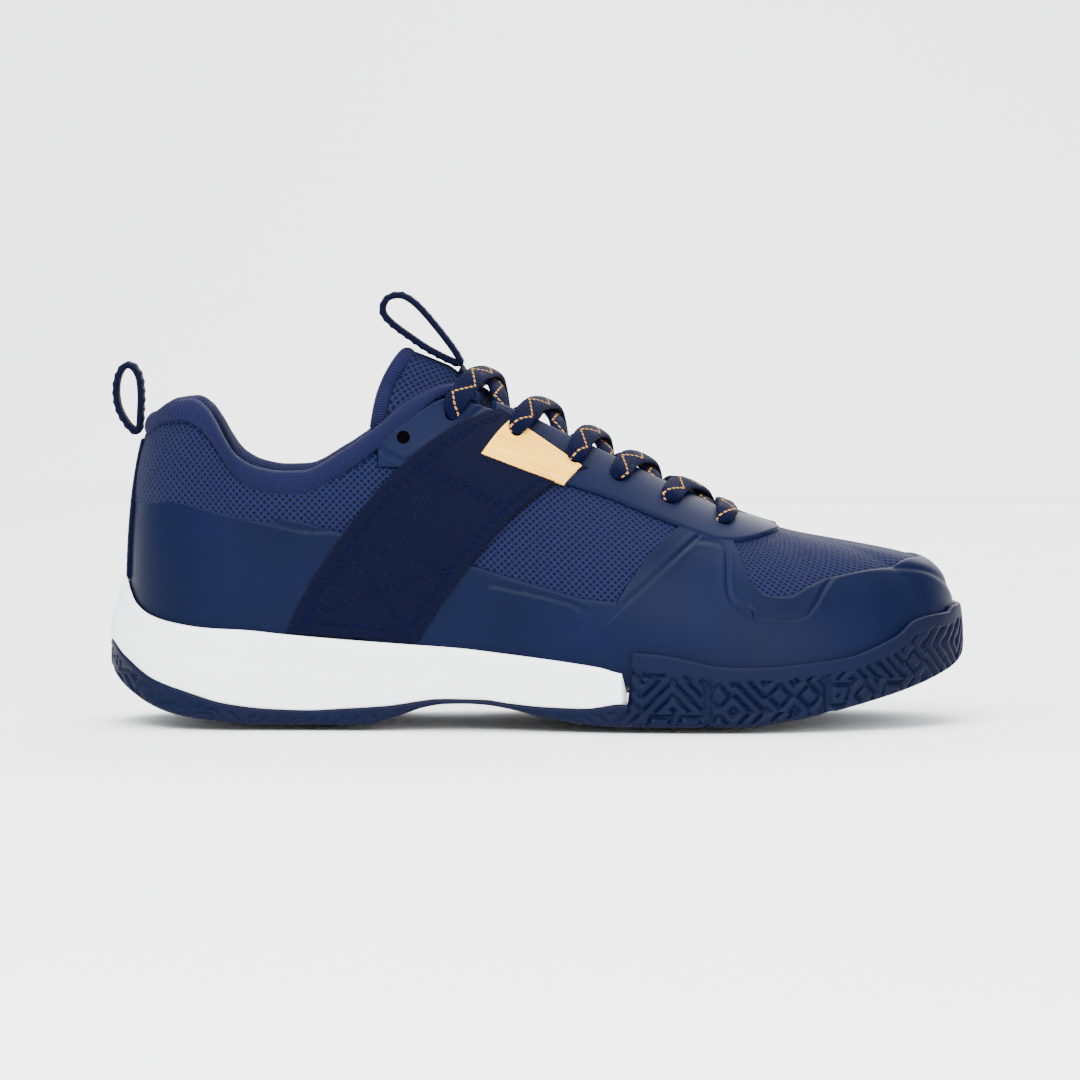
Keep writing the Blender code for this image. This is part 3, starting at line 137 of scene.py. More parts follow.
WRAP_TOP = [(0.603, 25.5), (0.639, 24.8), (0.674, 23), (0.698, 21.4), (0.728, 20.6), (0.77, 20.7),
            (0.817, 21.8), (0.864, 23.4), (0.899, 26.5), (0.931, 30.5), (0.954, 35), (0.972, 36.3),
            (0.995, 37), (1.004, 38.8)]
FLARE = [(0, 7.3), (0.2, 5.6), (0.45, 4.6), (0.6, 3.9), (0.85, 3.7), (1, 3.5)]
WRAP_START = 0.597
WRAP_STEP = 0.008
RUBBER_WALL = 2.4
CUP_OUT = 1.45
FLEX_GROOVES = (0.695, 0.838)
FLEX_GROOVE_DEPTH = 1.8
INNER_PARTS = (0.35, 0.65, 0.84, 0.96)  # spots between the centre line and the outline
BED_DROP = 2.4  # from the inside's floor to the midsole's upper face
SOLE_GAP = 0.4  # between the midsole and the rubber
WINDOW_MIDDLE = 0.412
WINDOW_HALF_LENGTH = 17.0
WINDOW_HALF_WIDTH = 13.0

# The tongue, the loops and the lace
TONGUE_FRONT = 0.752
TONGUE_TOP = 0.334
TONGUE_SWEEP = 12.0
TONGUE_HALF_WIDTH = [(0, 17), (0.12, 23), (0.35, 28), (0.8, 28), (1, 30)]
TONGUE_CROWN = [(0, -4.8), (0.3, -4.8), (0.66, -4.5), (0.74, -3.6), (0.82, -1.6), (0.88, 0.3), (1, 0)]
TONGUE_EDGE = [(0, -4.8), (0.8, -4.8), (0.93, -7.5), (1, -9)]
LOOP_WIDTH = 12.0
LOOP_THICK = 2.3
HEEL_PIVOT = (-138.6, 97.6)
HEEL_LOOP = [(-0.6, 1.2), (-3.4, 3.4), (-6.4, 8.5), (-7.5, 14), (-7, 19.6), (-5, 23.4), (-2.2, 23.8),
             (0.2, 20.4), (1, 14.5), (0.8, 8), (0.5, 3.4)]
TONGUE_PIVOT = (-24.5, 119.2)
TONGUE_LOOP = [(-3, 3.1), (-12, 7.2), (-20, 12.4), (-26.8, 17.6), (-29.3, 21.5), (-27.6, 25.6), (-22.8, 26.6),
               (-17.5, 23.4), (-10.5, 15.5), (-4, 6.8)]

# Lines moulded into the skins, seen from the side: (x, z)
HEEL_LINE = [(-139.7, 80.2), (-126.8, 77.2), (-114.9, 74.5), (-97.9, 70.4), (-80.9, 66.3), (-65.6, 62.6),
             (-92.8, 33.7)]
MIDFOOT_LINE = [(-16, 47.3), (-12.9, 47.3), (16.3, 39.1), (3.4, 24.5)]
FOREFOOT_LINE = [(10.2, 24.5), (50.3, 59.8), (55.1, 61.9), (61.9, 60.9), (64.3, 57.5), (64.6, 46.6),
                 (67, 41.5), (75.5, 37.1), (89.1, 36.4), (94.2, 40.5), (97.6, 45.9), (101, 50), (106.1, 52),
                 (116.3, 52.4), (129.9, 51.3), (136.7, 49), (141.8, 44.9), (144.2, 41.5)]
TAB_LINE = [(-55.8, 96), (-30.9, 113.2), (-20.4, 108.8), (-19.7, 106.8), (-42.8, 90.8), (-47.6, 90.1),
            (-55.1, 94.5), (-55.8, 96)]

BACK_X = AHEAD - UPPER_LENGTH / 2
HEEL_X = BACK_X + HEEL_REACH
BALL_X = BACK_X + UPPER_LENGTH - TOE_REACH
SIDES = ((-1, "lateral"), (1, "medial"))
# Shares at which a line up the last is read, closest together at its top, where a square toe turns fast
FINE = np.unique(np.concatenate([np.linspace(0, 1, 81), 1 - np.geomspace(1, 1e-10, 120)]))


# --------------------------------------------------------------------------------------------------- settings


def colour(name, text, value):
    """A colour among the settings."""
    return bpy.props.FloatVectorProperty(
        name=name, description=text, subtype="COLOR", size=3, min=0, max=1, default=value)


def length(name, text, value):
    """A length among the settings, given in millimetres."""
    return bpy.props.FloatProperty(name=name, description=text, default=value * MM, unit="LENGTH", min=0)


class ShoeColours(bpy.types.PropertyGroup):
    """Base colours of the shoe's materials"""

    skin: colour("Skin", "Coated synthetic leather", (0.0007, 0.0029, 0.0185))
    mesh_yarn: colour("Mesh yarn", "Yarn of the open mesh", (0.0046, 0.0068, 0.033))
    # the cloth under the mesh, darkened further as painted shade inside the holes
    mesh_hole_shade: colour("Mesh hole", "Cloth seen through the mesh's holes", (0.0003, 0.0006, 0.004))
    webbing: colour("Webbing", "Strap and pull tapes", (0.0003, 0.0011, 0.0125))
    knit: colour("Knit", "Rolled edge of the collar and tongue", (0.0046, 0.006, 0.03))
    lining: colour("Lining", "Cloth inside the shoe", (0.002, 0.0028, 0.014))
    foam: colour("Foam", "White midsole", (0.9, 0.91, 0.935))
    rubber: colour("Rubber", "Outsole", (0.0007, 0.0026, 0.0155))
    foil: colour("Foil", "Foil bar", (1.0, 0.44, 0.025))
    lace: colour("Lace", "Ground of the lace", (0.0005, 0.0016, 0.0155))
    tracer: colour("Tracer", "Tracer threads in the lace", (0.46, 0.235, 0.045))
    reflective: colour("Reflective", "Reflective line on the tongue's pull tape", (0.42, 0.44, 0.5))


class ShoeSizes(bpy.types.PropertyGroup):
    """Sizes of the cloths, the lace, the stitches and the tread"""

    mesh_pitch: length("Mesh pitch", "Distance between the mesh's holes", 2.5)
    twill_pitch: length("Twill pitch", "Distance between the webbing's ribs", 1.25)
    lace_width: length("Lace width", "Width of the flat lace", 7.4)
    lace_thickness: length("Lace thickness", "Thickness of the flat lace", 2.5)
    stitch_length: length("Stitch length", "Length of one stitch", 2.3)
    stitch_pitch: length("Stitch pitch", "Distance from one stitch to the next", 3.2)
    thread: length("Thread", "Diameter of the sewing thread", 0.55)
    tread_depth: length("Tread depth", "Depth of the tread's grooves", 1.3)
    tread_cell: length("Tread cell", "Size of one cell of the tread's maze", 10.5)


# ------------------------------------------------------------------------------------- the last, as formulas


def curve(pairs, at):
    """Smooth monotone curve through (key, value) pairs, level at both ends."""
    keys, values = np.array(pairs, float).T
    at = np.clip(at, keys[0], keys[-1])
    chords = np.diff(values) / np.diff(keys)
    slopes = np.zeros(len(keys))
    same_way = chords[1:] * chords[:-1] > 0
    total = np.where(same_way, chords[1:] + chords[:-1], 1)
    slopes[1:-1] = np.where(same_way, 2 * chords[1:] * chords[:-1] / total, 0)
    i = np.clip(np.searchsorted(keys, at, side="right") - 1, 0, len(keys) - 2)
    span = keys[i + 1] - keys[i]
    t = (at - keys[i]) / span
    start = values[i] * (1 + 2 * t) * (1 - t) ** 2 + slopes[i] * span * t * (1 - t) ** 2
    end = values[i + 1] * t * t * (3 - 2 * t) + slopes[i + 1] * span * t * t * (t - 1)
    return start + end


def share(x):
    """Share of the upper's length at x."""
    return (x - BACK_X) / UPPER_LENGTH


def place(part):
    """x at a share of the upper's length."""
    return BACK_X + np.asarray(part, float) * UPPER_LENGTH


def lap(part):
    """Ring coordinate, without its sign, at a share of the length between heel centre and ball."""
    return 1 + (place(part) - HEEL_X) / (BALL_X - HEEL_X)


def ridge_y(x):
    """y of the instep's ridge at x."""
    return curve(RIDGE_Y, np.clip((x - HEEL_X) / (BALL_X - HEEL_X), 0, 1))


def plan(ring):
    """Outline and ridge point from above: quarter super-ellipses at heel and toe, straight lines between."""
    ring = np.asarray(ring, float)
    side = np.where(ring < 0, -1.0, 1.0)
    around = np.abs(ring)
    heel = np.clip(around, 0, 1) * QUARTER
    along = np.clip(around - 1, 0, 1)
    toe = np.clip(around - 2, 0, 1) * QUARTER
    width = BALL_WIDTH * np.where(side < 0, curve(LATERAL_WIDTH, along), curve(MEDIAL_WIDTH, along))
    ahead = np.sin(toe) ** (2 / TOE_SQUARENESS)
    aside = np.abs(np.cos(toe)) ** (2 / TOE_SQUARENESS)
    ridge = np.stack([HEEL_X + along * (BALL_X - HEEL_X), curve(RIDGE_Y, along)], axis=-1)
    x = ridge[..., 0] - HEEL_REACH * np.cos(heel) + TOE_REACH * ahead
    y = side * width * np.sin(heel) * aside + TOE_TIP_Y * ahead**2
    return np.stack([x, y], axis=-1), ridge


def bare(ring, turn):
    """Point of the last: a super-ellipse from the outline up to the roof, at a ring coordinate and a turn."""
    base, ridge = plan(ring)
    at = share(base[..., 0])
    reach = np.abs(np.cos(turn)) ** (2 / curve(ROUNDNESS, at))
    rise = np.abs(np.sin(turn)) ** (2 / curve(UPRIGHTNESS, at))
    spot = ridge + (base - ridge) * reach[..., None]
    low = curve(BED, at)
    height = low + (curve(ROOF, share(spot[..., 0])) - low) * rise
    return np.concatenate([spot, height[..., None]], axis=-1)


def wall(ring, turn, out=0.0):
    """Point at a distance out from the last, along the cross product of its two directions."""
    ring, turn, out = np.broadcast_arrays(*(np.asarray(value, float) for value in (ring, turn, out)))
    point = bare(ring, turn)
    step = 2e-3
    along = bare(ring + step, turn) - bare(ring - step, turn)
    upward = bare(ring, np.minimum(turn + step, QUARTER)) - bare(ring, np.maximum(turn - step, 0))
    square = np.cross(along, upward)
    square /= np.linalg.norm(square, axis=-1, keepdims=True)
    base, ridge = plan(ring)
    outward = np.concatenate([base - ridge, np.ones(base.shape[:-1] + (1,))], axis=-1)
    square *= np.sign((square * outward).sum(-1, keepdims=True))
    return point + square * out[..., None]


def turn_at_height(ring, height):
    """The turn at which the last reaches a height, by halving."""
    ring, height = np.broadcast_arrays(np.asarray(ring, float), np.asarray(height, float))
    low, high = np.zeros(ring.shape), np.full(ring.shape, QUARTER)
    for _ in range(26):
        middle = (low + high) / 2
        below = bare(ring, middle)[..., 2] < height
        low, high = np.where(below, middle, low), np.where(below, high, middle)
    return (low + high) / 2


def breadth(ring):
    """Distance from the ridge to the outline, seen from above."""
    base, ridge = plan(ring)
    return np.linalg.norm(base - ridge, axis=-1)


def turn_at_distance(ring, distance):
    """The turn at which the last is this far from the ridge, seen from above."""
    base, _ = plan(ring)
    reach = np.clip(distance / breadth(ring), 0, 1)
    return np.arccos(reach ** (curve(ROUNDNESS, share(base[..., 0])) / 2))


def slimmer(ring):
    """Breadth here as a share of the breadth on the outer side."""
    return breadth(ring) / breadth(-np.abs(ring))


def edge_turn(ring):
    """The turn at the upper's top edge: the collar's, then the throat's."""
    at = share(plan(ring)[0][..., 0])
    collar = turn_at_height(ring, curve(COLLAR_EDGE, at))
    to_front = np.clip(np.abs(ring) - 2, 0, 1)
    gap = curve(THROAT_HALF_GAP, at) * (1 - to_front) + THROAT_FRONT * to_front
    blend = np.clip((at - THROAT_START) / THROAT_BLEND, 0, 1)
    return collar * (1 - blend) + turn_at_distance(ring, gap) * blend


def lengths(path):
    """Length run along the first axis of a grid of points."""
    run = np.cumsum(np.linalg.norm(np.diff(path, axis=0), axis=-1), axis=0)
    return np.concatenate([np.zeros((1,) + run.shape[1:]), run])


def read_columns(wanted, keys, values):
    """Linear interpolation down every column at once: each column is moved to a stretch of its own."""
    top = keys.max() + 1
    apart = np.arange(keys.shape[1]) * 2 * top
    wanted = np.clip(wanted, keys[0], keys[-1])
    flat = np.interp((wanted + apart).T.ravel(), (keys + apart).T.ravel(), values.T.ravel())
    return flat.reshape(keys.shape[1], -1).T


def lower(ring, turn, down):
    """The turn that lies this far down the last from a turn."""
    fine = (1 - FINE[::-1])[:, None] * np.ones(len(turn))
    run = lengths(bare(ring, turn * (1 - fine)))
    return turn * (1 - read_columns(np.full((1, len(turn)), float(down)), run, fine)[0])


def row_turn(ring):
    """The turn of the eyelet row."""
    at = share(plan(ring)[0][..., 0])
    to_front = np.clip(np.abs(ring) - 2, 0, 1)
    distance = curve([SPARE_EYELET] + EYELETS[::-1], at) * (1 - to_front) + (THROAT_FRONT - 2) * to_front
    return turn_at_distance(ring, distance * slimmer(ring))


def facing_turn(ring, margin):
    """The turn a margin below the eyelets, and just below the collar's edge behind them."""
    blend = np.clip((share(plan(ring)[0][..., 0]) - 0.27) / 0.03, 0, 1)
    return (edge_turn(ring) - 0.02) * (1 - blend) + lower(ring, row_turn(ring), margin) * blend


def spread(ring_low, ring_high, turn_low, turn_high, shares):
    """Ring coordinates and turns of a grid, its columns cut at even shares of their length on the last."""
    fine = FINE[:, None] * np.ones(len(ring_low))
    ring = ring_low * (1 - fine) + ring_high * fine
    turn = turn_low * (1 - fine) + turn_high * fine
    run = lengths(bare(ring, turn))
    at = read_columns(shares[:, None] * run[-1], run, fine).T
    ring = ring_low[:, None] * (1 - at) + ring_high[:, None] * at
    turn = turn_low[:, None] * (1 - at) + turn_high[:, None] * at
    return ring, turn


def over_place(x, y):
    """Ring coordinate and turn of the place over the instep at x and y."""
    x, y = np.broadcast_arrays(np.asarray(x, float), np.asarray(y, float))
    side = np.where(y >= ridge_y(x), 1.0, -1.0)
    low, high = np.full(x.shape, 2.0), np.full(x.shape, 3.0)
    for _ in range(30):
        middle = (low + high) / 2
        base, ridge = plan(side * middle)
        to_base, to_spot = base - ridge, np.stack([x, y], axis=-1) - ridge
        ahead = (to_base[..., 0] * to_spot[..., 1] - to_base[..., 1] * to_spot[..., 0]) * side
        low, high = np.where(ahead < 0, middle, low), np.where(ahead < 0, high, middle)
    ring = side * np.where(x <= BALL_X, 1 + (x - HEEL_X) / (BALL_X - HEEL_X), middle)
    _, ridge = plan(ring)
    distance = np.linalg.norm(np.stack([x, y], axis=-1) - ridge, axis=-1)
    return ring, turn_at_distance(ring, distance)


def even_rings(first, last, count):
    """Ring coordinates at even steps of the outline's length, between two ends."""
    fine = np.linspace(first, last, 1500)
    run = lengths(plan(fine)[0])
    return np.interp(np.linspace(0, run[-1], count), run, fine)


def spaced(count, size):
    """Even shares of a length, with closer steps at both ends, where an edge rounds over."""
    close = np.array([0, 0.15, 0.4, 0.8]) / size
    inner = np.linspace(1.4 / size, 1 - 1.4 / size, count)
    return np.concatenate([close, inner, 1 - close[::-1]])


def dome(distance, radius):
    """Quarter circle that rises from 0 at an edge to 1 at a distance of its radius."""
    return np.sqrt(1 - (1 - np.clip(distance / radius, 0, 1)) ** 2)


def near(spot, line):
    """Distance, seen from the side, from points to a line of straight runs."""
    x, z = spot[..., 0], spot[..., 2]
    best = np.full(x.shape, 1e9)
    for (ax, az), (bx, bz) in zip(line, line[1:]):
        run = (bx - ax) ** 2 + (bz - az) ** 2
        t = np.clip(((x - ax) * (bx - ax) + (z - az) * (bz - az)) / run, 0, 1)
        best = np.minimum(best, np.hypot(x - ax - t * (bx - ax), z - az - t * (bz - az)))
    return best


def bell(distance, width):
    """Bell curve, 1 at no distance."""
    return np.exp(-((distance / width) ** 2))


def smooth_path(points, per_piece):
    """Rounded path through the points (Catmull-Rom), with this many steps between neighbours."""
    points = np.asarray(points, float)
    ends = np.vstack([2 * points[0] - points[1], points, 2 * points[-1] - points[-2]])
    a, b, c, d = (ends[i:len(ends) - 3 + i][:, None] for i in range(4))
    t = (np.arange(per_piece) / per_piece)[None, :, None]
    path = 0.5 * (2 * b + (c - a) * t + (2 * a - 5 * b + 4 * c - d) * t**2 + (3 * b - a - 3 * c + d) * t**3)
    return np.vstack([path.reshape(-1, points.shape[1]), points[-1]])


def moulded(line):
    """Relief of a line pressed into a skin, seen from the side: a narrow groove between soft shoulders, both
    bell curves of the distance to the line."""
    path = smooth_path(line, 4)

    def relief(spot):
        away = near(spot, path)
        return -0.42 * bell(away, 0.65) + 0.1 * bell(away - 1.6, 0.9)

    return relief


def eyelet_place(side, part, distance):
    """Ring coordinate and turn of an eyelet. Ahead of the ball its ring coordinate is found by halving."""
    x = float(place(part))
    if x <= BALL_X:
        ring = side * float(lap(part))
        return ring, turn_at_distance(ring, distance * slimmer(ring))
    low, high = 2.0, 3.0
    for _ in range(30):
        middle = (low + high) / 2
        reached = bare(side * middle, turn_at_distance(side * middle, distance))[0] < x
        low, high = (middle, high) if reached else (low, middle)
    return side * middle, turn_at_distance(side * middle, distance)


# ----------------------------------------------------------------------------------------------------- meshes


def unit(vectors):
    """The same directions at length 1."""
    return vectors / np.maximum(np.linalg.norm(vectors, axis=-1, keepdims=True), 1e-12)


def place_on_grid(points):
    """Length along the rows and down the columns of a grid, in millimetres: the piece's own UV map."""
    along = lengths(points)
    down = np.moveaxis(lengths(np.moveaxis(points, 1, 0)), 0, 1)
    middle = along[:, along.shape[1] // 2]
    return np.stack([np.broadcast_to(middle[:, None], along.shape), down], axis=-1)


def build(name, patches, material, body, smooth_angle=40.0):
    """A mesh object from patches. A patch is a grid of points in millimetres with its UV map. Patches that
    share an edge are merged, and the faces are turned outwards."""
    vertices, faces, places = [], [], []
    start = 0
    for grid, uv in patches:
        across, down = grid.shape[:2]
        index = start + np.arange(across * down).reshape(across, down)
        quads = np.stack([index[:-1, :-1], index[1:, :-1], index[1:, 1:], index[:-1, 1:]], axis=-1)
        vertices.append(grid.reshape(-1, 3))
        places.append(uv.reshape(-1, 2))
        faces.append(quads.reshape(-1, 4))
        start += across * down
    vertices, places, faces = np.concatenate(vertices), np.concatenate(places), np.concatenate(faces)
    mesh = bpy.data.meshes.new(name)
    mesh.vertices.add(len(vertices))
    mesh.vertices.foreach_set("co", (vertices * MM).astype(np.float32).ravel())
    mesh.loops.add(faces.size)
    mesh.loops.foreach_set("vertex_index", faces.astype(np.int32).ravel())
    mesh.polygons.add(len(faces))
    mesh.polygons.foreach_set("loop_start", np.arange(0, faces.size, 4, dtype=np.int32))
    mesh.update(calc_edges=True)
    layer = mesh.uv_layers.new(name="surface")
    layer.data.foreach_set("uv", places[faces.ravel()].astype(np.float32).ravel())
    work = bmesh.new()
    work.from_mesh(mesh)
    bmesh.ops.remove_doubles(work, verts=work.verts, dist=2e-6)
    bmesh.ops.dissolve_degenerate(work, edges=work.edges, dist=1e-7)
    bmesh.ops.recalc_face_normals(work, faces=work.faces)
    work.to_mesh(mesh)
    work.free()
    mesh.polygons.foreach_set("use_smooth", [True] * len(mesh.polygons))
    mesh.set_sharp_from_angle(angle=math.radians(smooth_angle))
    mesh.materials.append(material)
    obj = bpy.data.objects.new(name, mesh)
    bpy.context.scene.collection.objects.link(obj)
    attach(obj, body)
    return obj


def slab(outer, inner):
    """Patches of a closed sheet: its two faces and the four strips that join their edges."""
    uv = place_on_grid(outer)
    patches = [(outer, uv), (inner, uv)]
    for edge in (np.s_[0], np.s_[-1], np.s_[:, 0], np.s_[:, -1]):
        strip = np.stack([outer[edge], inner[edge]], axis=1)
        patches.append((strip, np.stack([uv[edge], uv[edge]], axis=1)))
    return patches


def skin(name, ring, turn, base_out, thickness, material, body="shoe", relief=None, edges="both", deep=0.5,
         radius=0.9):
    """A layer on the last: its face stands at base_out + thickness and rounds over at its edges by a quarter
    circle, and relief is added to that, as a function of the point on the last."""
    spot = bare(ring, turn)
    along, down = lengths(spot), np.moveaxis(lengths(np.moveaxis(spot, 1, 0)), 0, 1)
    edge = down[:, -1:] - down
    if edges in ("both", "all"):
        edge = np.minimum(edge, np.minimum(along, along[-1:] - along))
    if edges == "all":
        edge = np.minimum(edge, down)
    out = base_out + thickness * dome(edge, radius)
    if relief is not None:
        out = out + relief(spot) * np.clip(edge / 1.5, 0, 1)
    return build(name, slab(wall(ring, turn, out), wall(ring, turn, base_out - deep)), material, body)


def swept(path, across, up, half_width, half_thick, sides=20, power=2.6):
    """Patches of a flat bar along a path: its section is a super-ellipse, closed to a point at both ends."""
    turns = np.linspace(0, 2 * math.pi, sides + 1)
    cos, sin = np.cos(turns), np.sin(turns)
    wide = np.sign(cos) * np.abs(cos) ** (2 / power)
    tall = np.sign(sin) * np.abs(sin) ** (2 / power)
    half_width, half_thick = (np.broadcast_to(value, len(path)) for value in (half_width, half_thick))
    grid = path[:, None] + across[:, None] * (half_width[:, None] * wide)[..., None]
    grid = grid + up[:, None] * (half_thick[:, None] * tall)[..., None]
    run = lengths(path)
    uv = np.stack([np.broadcast_to(run[:, None], grid.shape[:2]),
                   half_width[:, None] * wide + 0 * run[:, None]], axis=-1)
    patches = [(grid, uv)]
    for end in (0, -1):
        cap = np.stack([grid[end], np.broadcast_to(path[end], grid[end].shape)], axis=0)
        patches.append((cap, np.stack([uv[end], uv[end]], axis=0)))
    return patches


def stitches(name, runs, material, body, sizes):
    """Rows of stitches: each is a capsule, a circle carried along a short line and shrunk at its ends. A run
    is (points, outward directions), and stitches lie on it at even steps."""
    pitch, size, radius = sizes.stitch_pitch / MM, sizes.stitch_length / MM, sizes.thread / MM / 2
    across = np.array([-1, -0.86, 0, 0.86, 1])
    girth = np.array([0.05, 0.75, 1, 0.75, 0.05])
    turns = np.linspace(0, 2 * math.pi, 7)
    patches = []
    for points, outward in runs:
        run = lengths(points)
        at = np.arange(pitch / 2, run[-1] - size / 2, pitch)
        centre = np.stack([np.interp(at, run, points[:, k]) for k in range(3)], axis=-1)
        ahead = np.stack([np.interp(at + 0.5, run, points[:, k]) for k in range(3)], axis=-1)
        up = unit(np.stack([np.interp(at, run, outward[:, k]) for k in range(3)], axis=-1))
        tangent = unit(ahead - centre + 1e-9)
        side = np.cross(up, tangent)
        ring = np.cos(turns)[:, None] * side[:, None, None] + np.sin(turns)[:, None] * up[:, None, None]
        body_line = centre[:, None] + tangent[:, None] * across[:, None] * size / 2
        body_line = body_line - up[:, None] * (across**2 * radius * 1.2)[:, None]
        capsules = body_line[:, :, None] + ring * (girth * radius)[:, None, None]
        flat = np.zeros(capsules.shape[1:3] + (2,))
        patches += [(capsule, flat) for capsule in capsules]
    return build(name, patches, material, body, smooth_angle=80.0)


# -------------------------------------------------------------------------------------------------- materials


class Nodes:
    """Short way to add nodes to a tree: a value may be a number, a colour or another node's output."""

    def __init__(self, tree):
        self.tree = tree

    def add(self, kind, *values, **settings):
        node = self.tree.nodes.new(kind)
        for key, value in settings.items():
            setattr(node, key, value)
        for socket, value in zip(node.inputs, values):
            self.set(socket, value)
        return node.outputs[0]

    def set(self, socket, value):
        if value is None:
            return
        if isinstance(value, bpy.types.NodeSocket):
            self.tree.links.new(value, socket)
        else:
            socket.default_value = value

    def math(self, operation, first, second=0.0):
        return self.add("ShaderNodeMath", first, second, operation=operation)

    def mix(self, factor, first, second):
        node = self.tree.nodes.new("ShaderNodeMix")
        node.data_type = "RGBA"
        for index, value in ((0, factor), (6, first), (7, second)):
            if isinstance(value, tuple) and len(value) == 3:
                value = (*value, 1)
            self.set(node.inputs[index], value)
        return node.outputs[2]

    def noise(self, vector, scale, detail=2.0):
        node = self.tree.nodes.new("ShaderNodeTexNoise")
        self.set(node.inputs["Vector"], vector)
        node.inputs["Scale"].default_value = scale
        node.inputs["Detail"].default_value = detail
        return node.outputs["Fac"]

    def remap(self, value, low, high, to_low=0.0, to_high=1.0):
        return self.add("ShaderNodeMapRange", value, low, high, to_low, to_high)


def group(name, inputs, outputs, fill):
    """A shader node group, made once: inputs and outputs are (name, socket type, default)."""
    tree = bpy.data.node_groups.get(name)
    if tree:
        return tree
    tree = bpy.data.node_groups.new(name, "ShaderNodeTree")
    for label, kind, value in inputs:
        socket = tree.interface.new_socket(label, in_out="INPUT", socket_type=kind)
        if value is not None:
            socket.default_value = value
    for label, kind in outputs:
        tree.interface.new_socket(label, in_out="OUTPUT", socket_type=kind)
    source, sink = tree.nodes.new("NodeGroupInput"), tree.nodes.new("NodeGroupOutput")
    fill(Nodes(tree), source.outputs, sink.inputs)
    return tree


def split(nodes, vector):
    """The first two parts of a vector."""
    node = nodes.tree.nodes.new("ShaderNodeSeparateXYZ")
    nodes.set(node.inputs[0], vector)
    return node.outputs[0], node.outputs[1]


def lattice_group():
    """Staggered round holes: the product of two squared sine waves along the diagonals, made steep."""

    def fill(nodes, given, out):
        u, v = split(nodes, given["Place"])
        waves = []
        for sign in ("ADD", "SUBTRACT"):
            turn = nodes.math("DIVIDE", nodes.math(sign, u, v), given["Pitch"])
            wave = nodes.math("SINE", nodes.math("MULTIPLY", turn, math.pi))
            waves.append(nodes.math("MULTIPLY", wave, wave))
        peak = nodes.math("MULTIPLY", *waves)
        nodes.set(out["Hole"], nodes.remap(peak, 0.34, 0.62))
        fine = nodes.math("SINE", nodes.math("MULTIPLY", u, 2 * math.pi / 0.42))
        yarn = nodes.math("MULTIPLY", nodes.math("ADD", fine, 1.0), 0.06)
        nodes.set(out["Height"], nodes.math("SUBTRACT", yarn, nodes.remap(peak, 0.1, 0.6)))

    return group("mesh_lattice", [("Place", "NodeSocketVector", None), ("Pitch", "NodeSocketFloat", 2.5)],
                 [("Hole", "NodeSocketFloat"), ("Height", "NodeSocketFloat")], fill)


def ribs_group():
    """Slanted ribs: a sine wave across the slant, broken by a finer wave along it."""

    def fill(nodes, given, out):
        u, v = split(nodes, given["Place"])
        slanted = nodes.math("ADD", u, nodes.math("MULTIPLY", v, given["Slant"]))
        crossing = nodes.math("SUBTRACT", nodes.math("MULTIPLY", u, given["Slant"]), v)
        waves = []
        for way, period in ((slanted, given["Pitch"]), (crossing, given["Break"])):
            turn = nodes.math("DIVIDE", nodes.math("MULTIPLY", way, 2 * math.pi), period)
            waves.append(nodes.math("SINE", turn))
        height = nodes.math("ADD", waves[0], nodes.math("MULTIPLY", waves[1], 0.35))
        nodes.set(out["Height"], height)
        nodes.set(out["Rib"], nodes.remap(height, -1.1, 1.1))

    return group("slanted_ribs", [("Place", "NodeSocketVector", None), ("Pitch", "NodeSocketFloat", 1.2),
                                  ("Slant", "NodeSocketFloat", 1.0), ("Break", "NodeSocketFloat", 0.8)],
                 [("Height", "NodeSocketFloat"), ("Rib", "NodeSocketFloat")], fill)


def grain_group():
    """Fine dimples from small Voronoi cells and slow patches of tone from noise."""

    def fill(nodes, given, out):
        cells = nodes.tree.nodes.new("ShaderNodeTexVoronoi")
        nodes.set(cells.inputs["Vector"], given["Place"])
        nodes.set(cells.inputs["Scale"], given["Fineness"])
        nodes.set(out["Height"], nodes.remap(cells.outputs["Distance"], 0.0, 0.7))
        nodes.set(out["Tone"], nodes.remap(nodes.noise(given["Place"], 28.0, 4.0), 0.3, 0.7))

    return group("fine_grain", [("Place", "NodeSocketVector", None), ("Fineness", "NodeSocketFloat", 1100.0)],
                 [("Height", "NodeSocketFloat"), ("Tone", "NodeSocketFloat")], fill)


def use(nodes, tree, **values):
    """A node group's outputs, with its inputs set or linked."""
    node = nodes.tree.nodes.new("ShaderNodeGroup")
    node.node_tree = tree
    for key, value in values.items():
        nodes.set(node.inputs[key], value)
    return node.outputs


def new_material(name, sheen=0.0, specular=0.5, coat=0.0, metallic=0.0):
    """A material with its Principled shader, the nodes helper, the object place and the surface place."""
    material = bpy.data.materials.new(name)
    material.use_nodes = True
    shader = material.node_tree.nodes["Principled BSDF"]
    for socket, value in (("Sheen Weight", sheen), ("Sheen Roughness", 0.4), ("Specular IOR Level", specular),
                          ("Coat Weight", coat), ("Coat Roughness", 0.4), ("Metallic", metallic)):
        shader.inputs[socket].default_value = value
    nodes = Nodes(material.node_tree)
    where = nodes.tree.nodes.new("ShaderNodeTexCoord").outputs["Object"]
    uv = nodes.tree.nodes.new("ShaderNodeUVMap")
    uv.uv_map = "surface"
    return material, shader, nodes, where, uv.outputs[0]


def bump(nodes, shader, height, strength, distance):
    """Bumps the shader's surface by a height. The distance is in millimetres."""
    node = nodes.tree.nodes.new("ShaderNodeBump")
    node.inputs["Strength"].default_value = strength
    node.inputs["Distance"].default_value = distance * MM
    nodes.set(node.inputs["Height"], height)
    nodes.set(shader.inputs["Normal"], node.outputs[0])


def darker(value, factor):
    """A colour with each channel times a factor."""
    return tuple(channel * factor for channel in value)


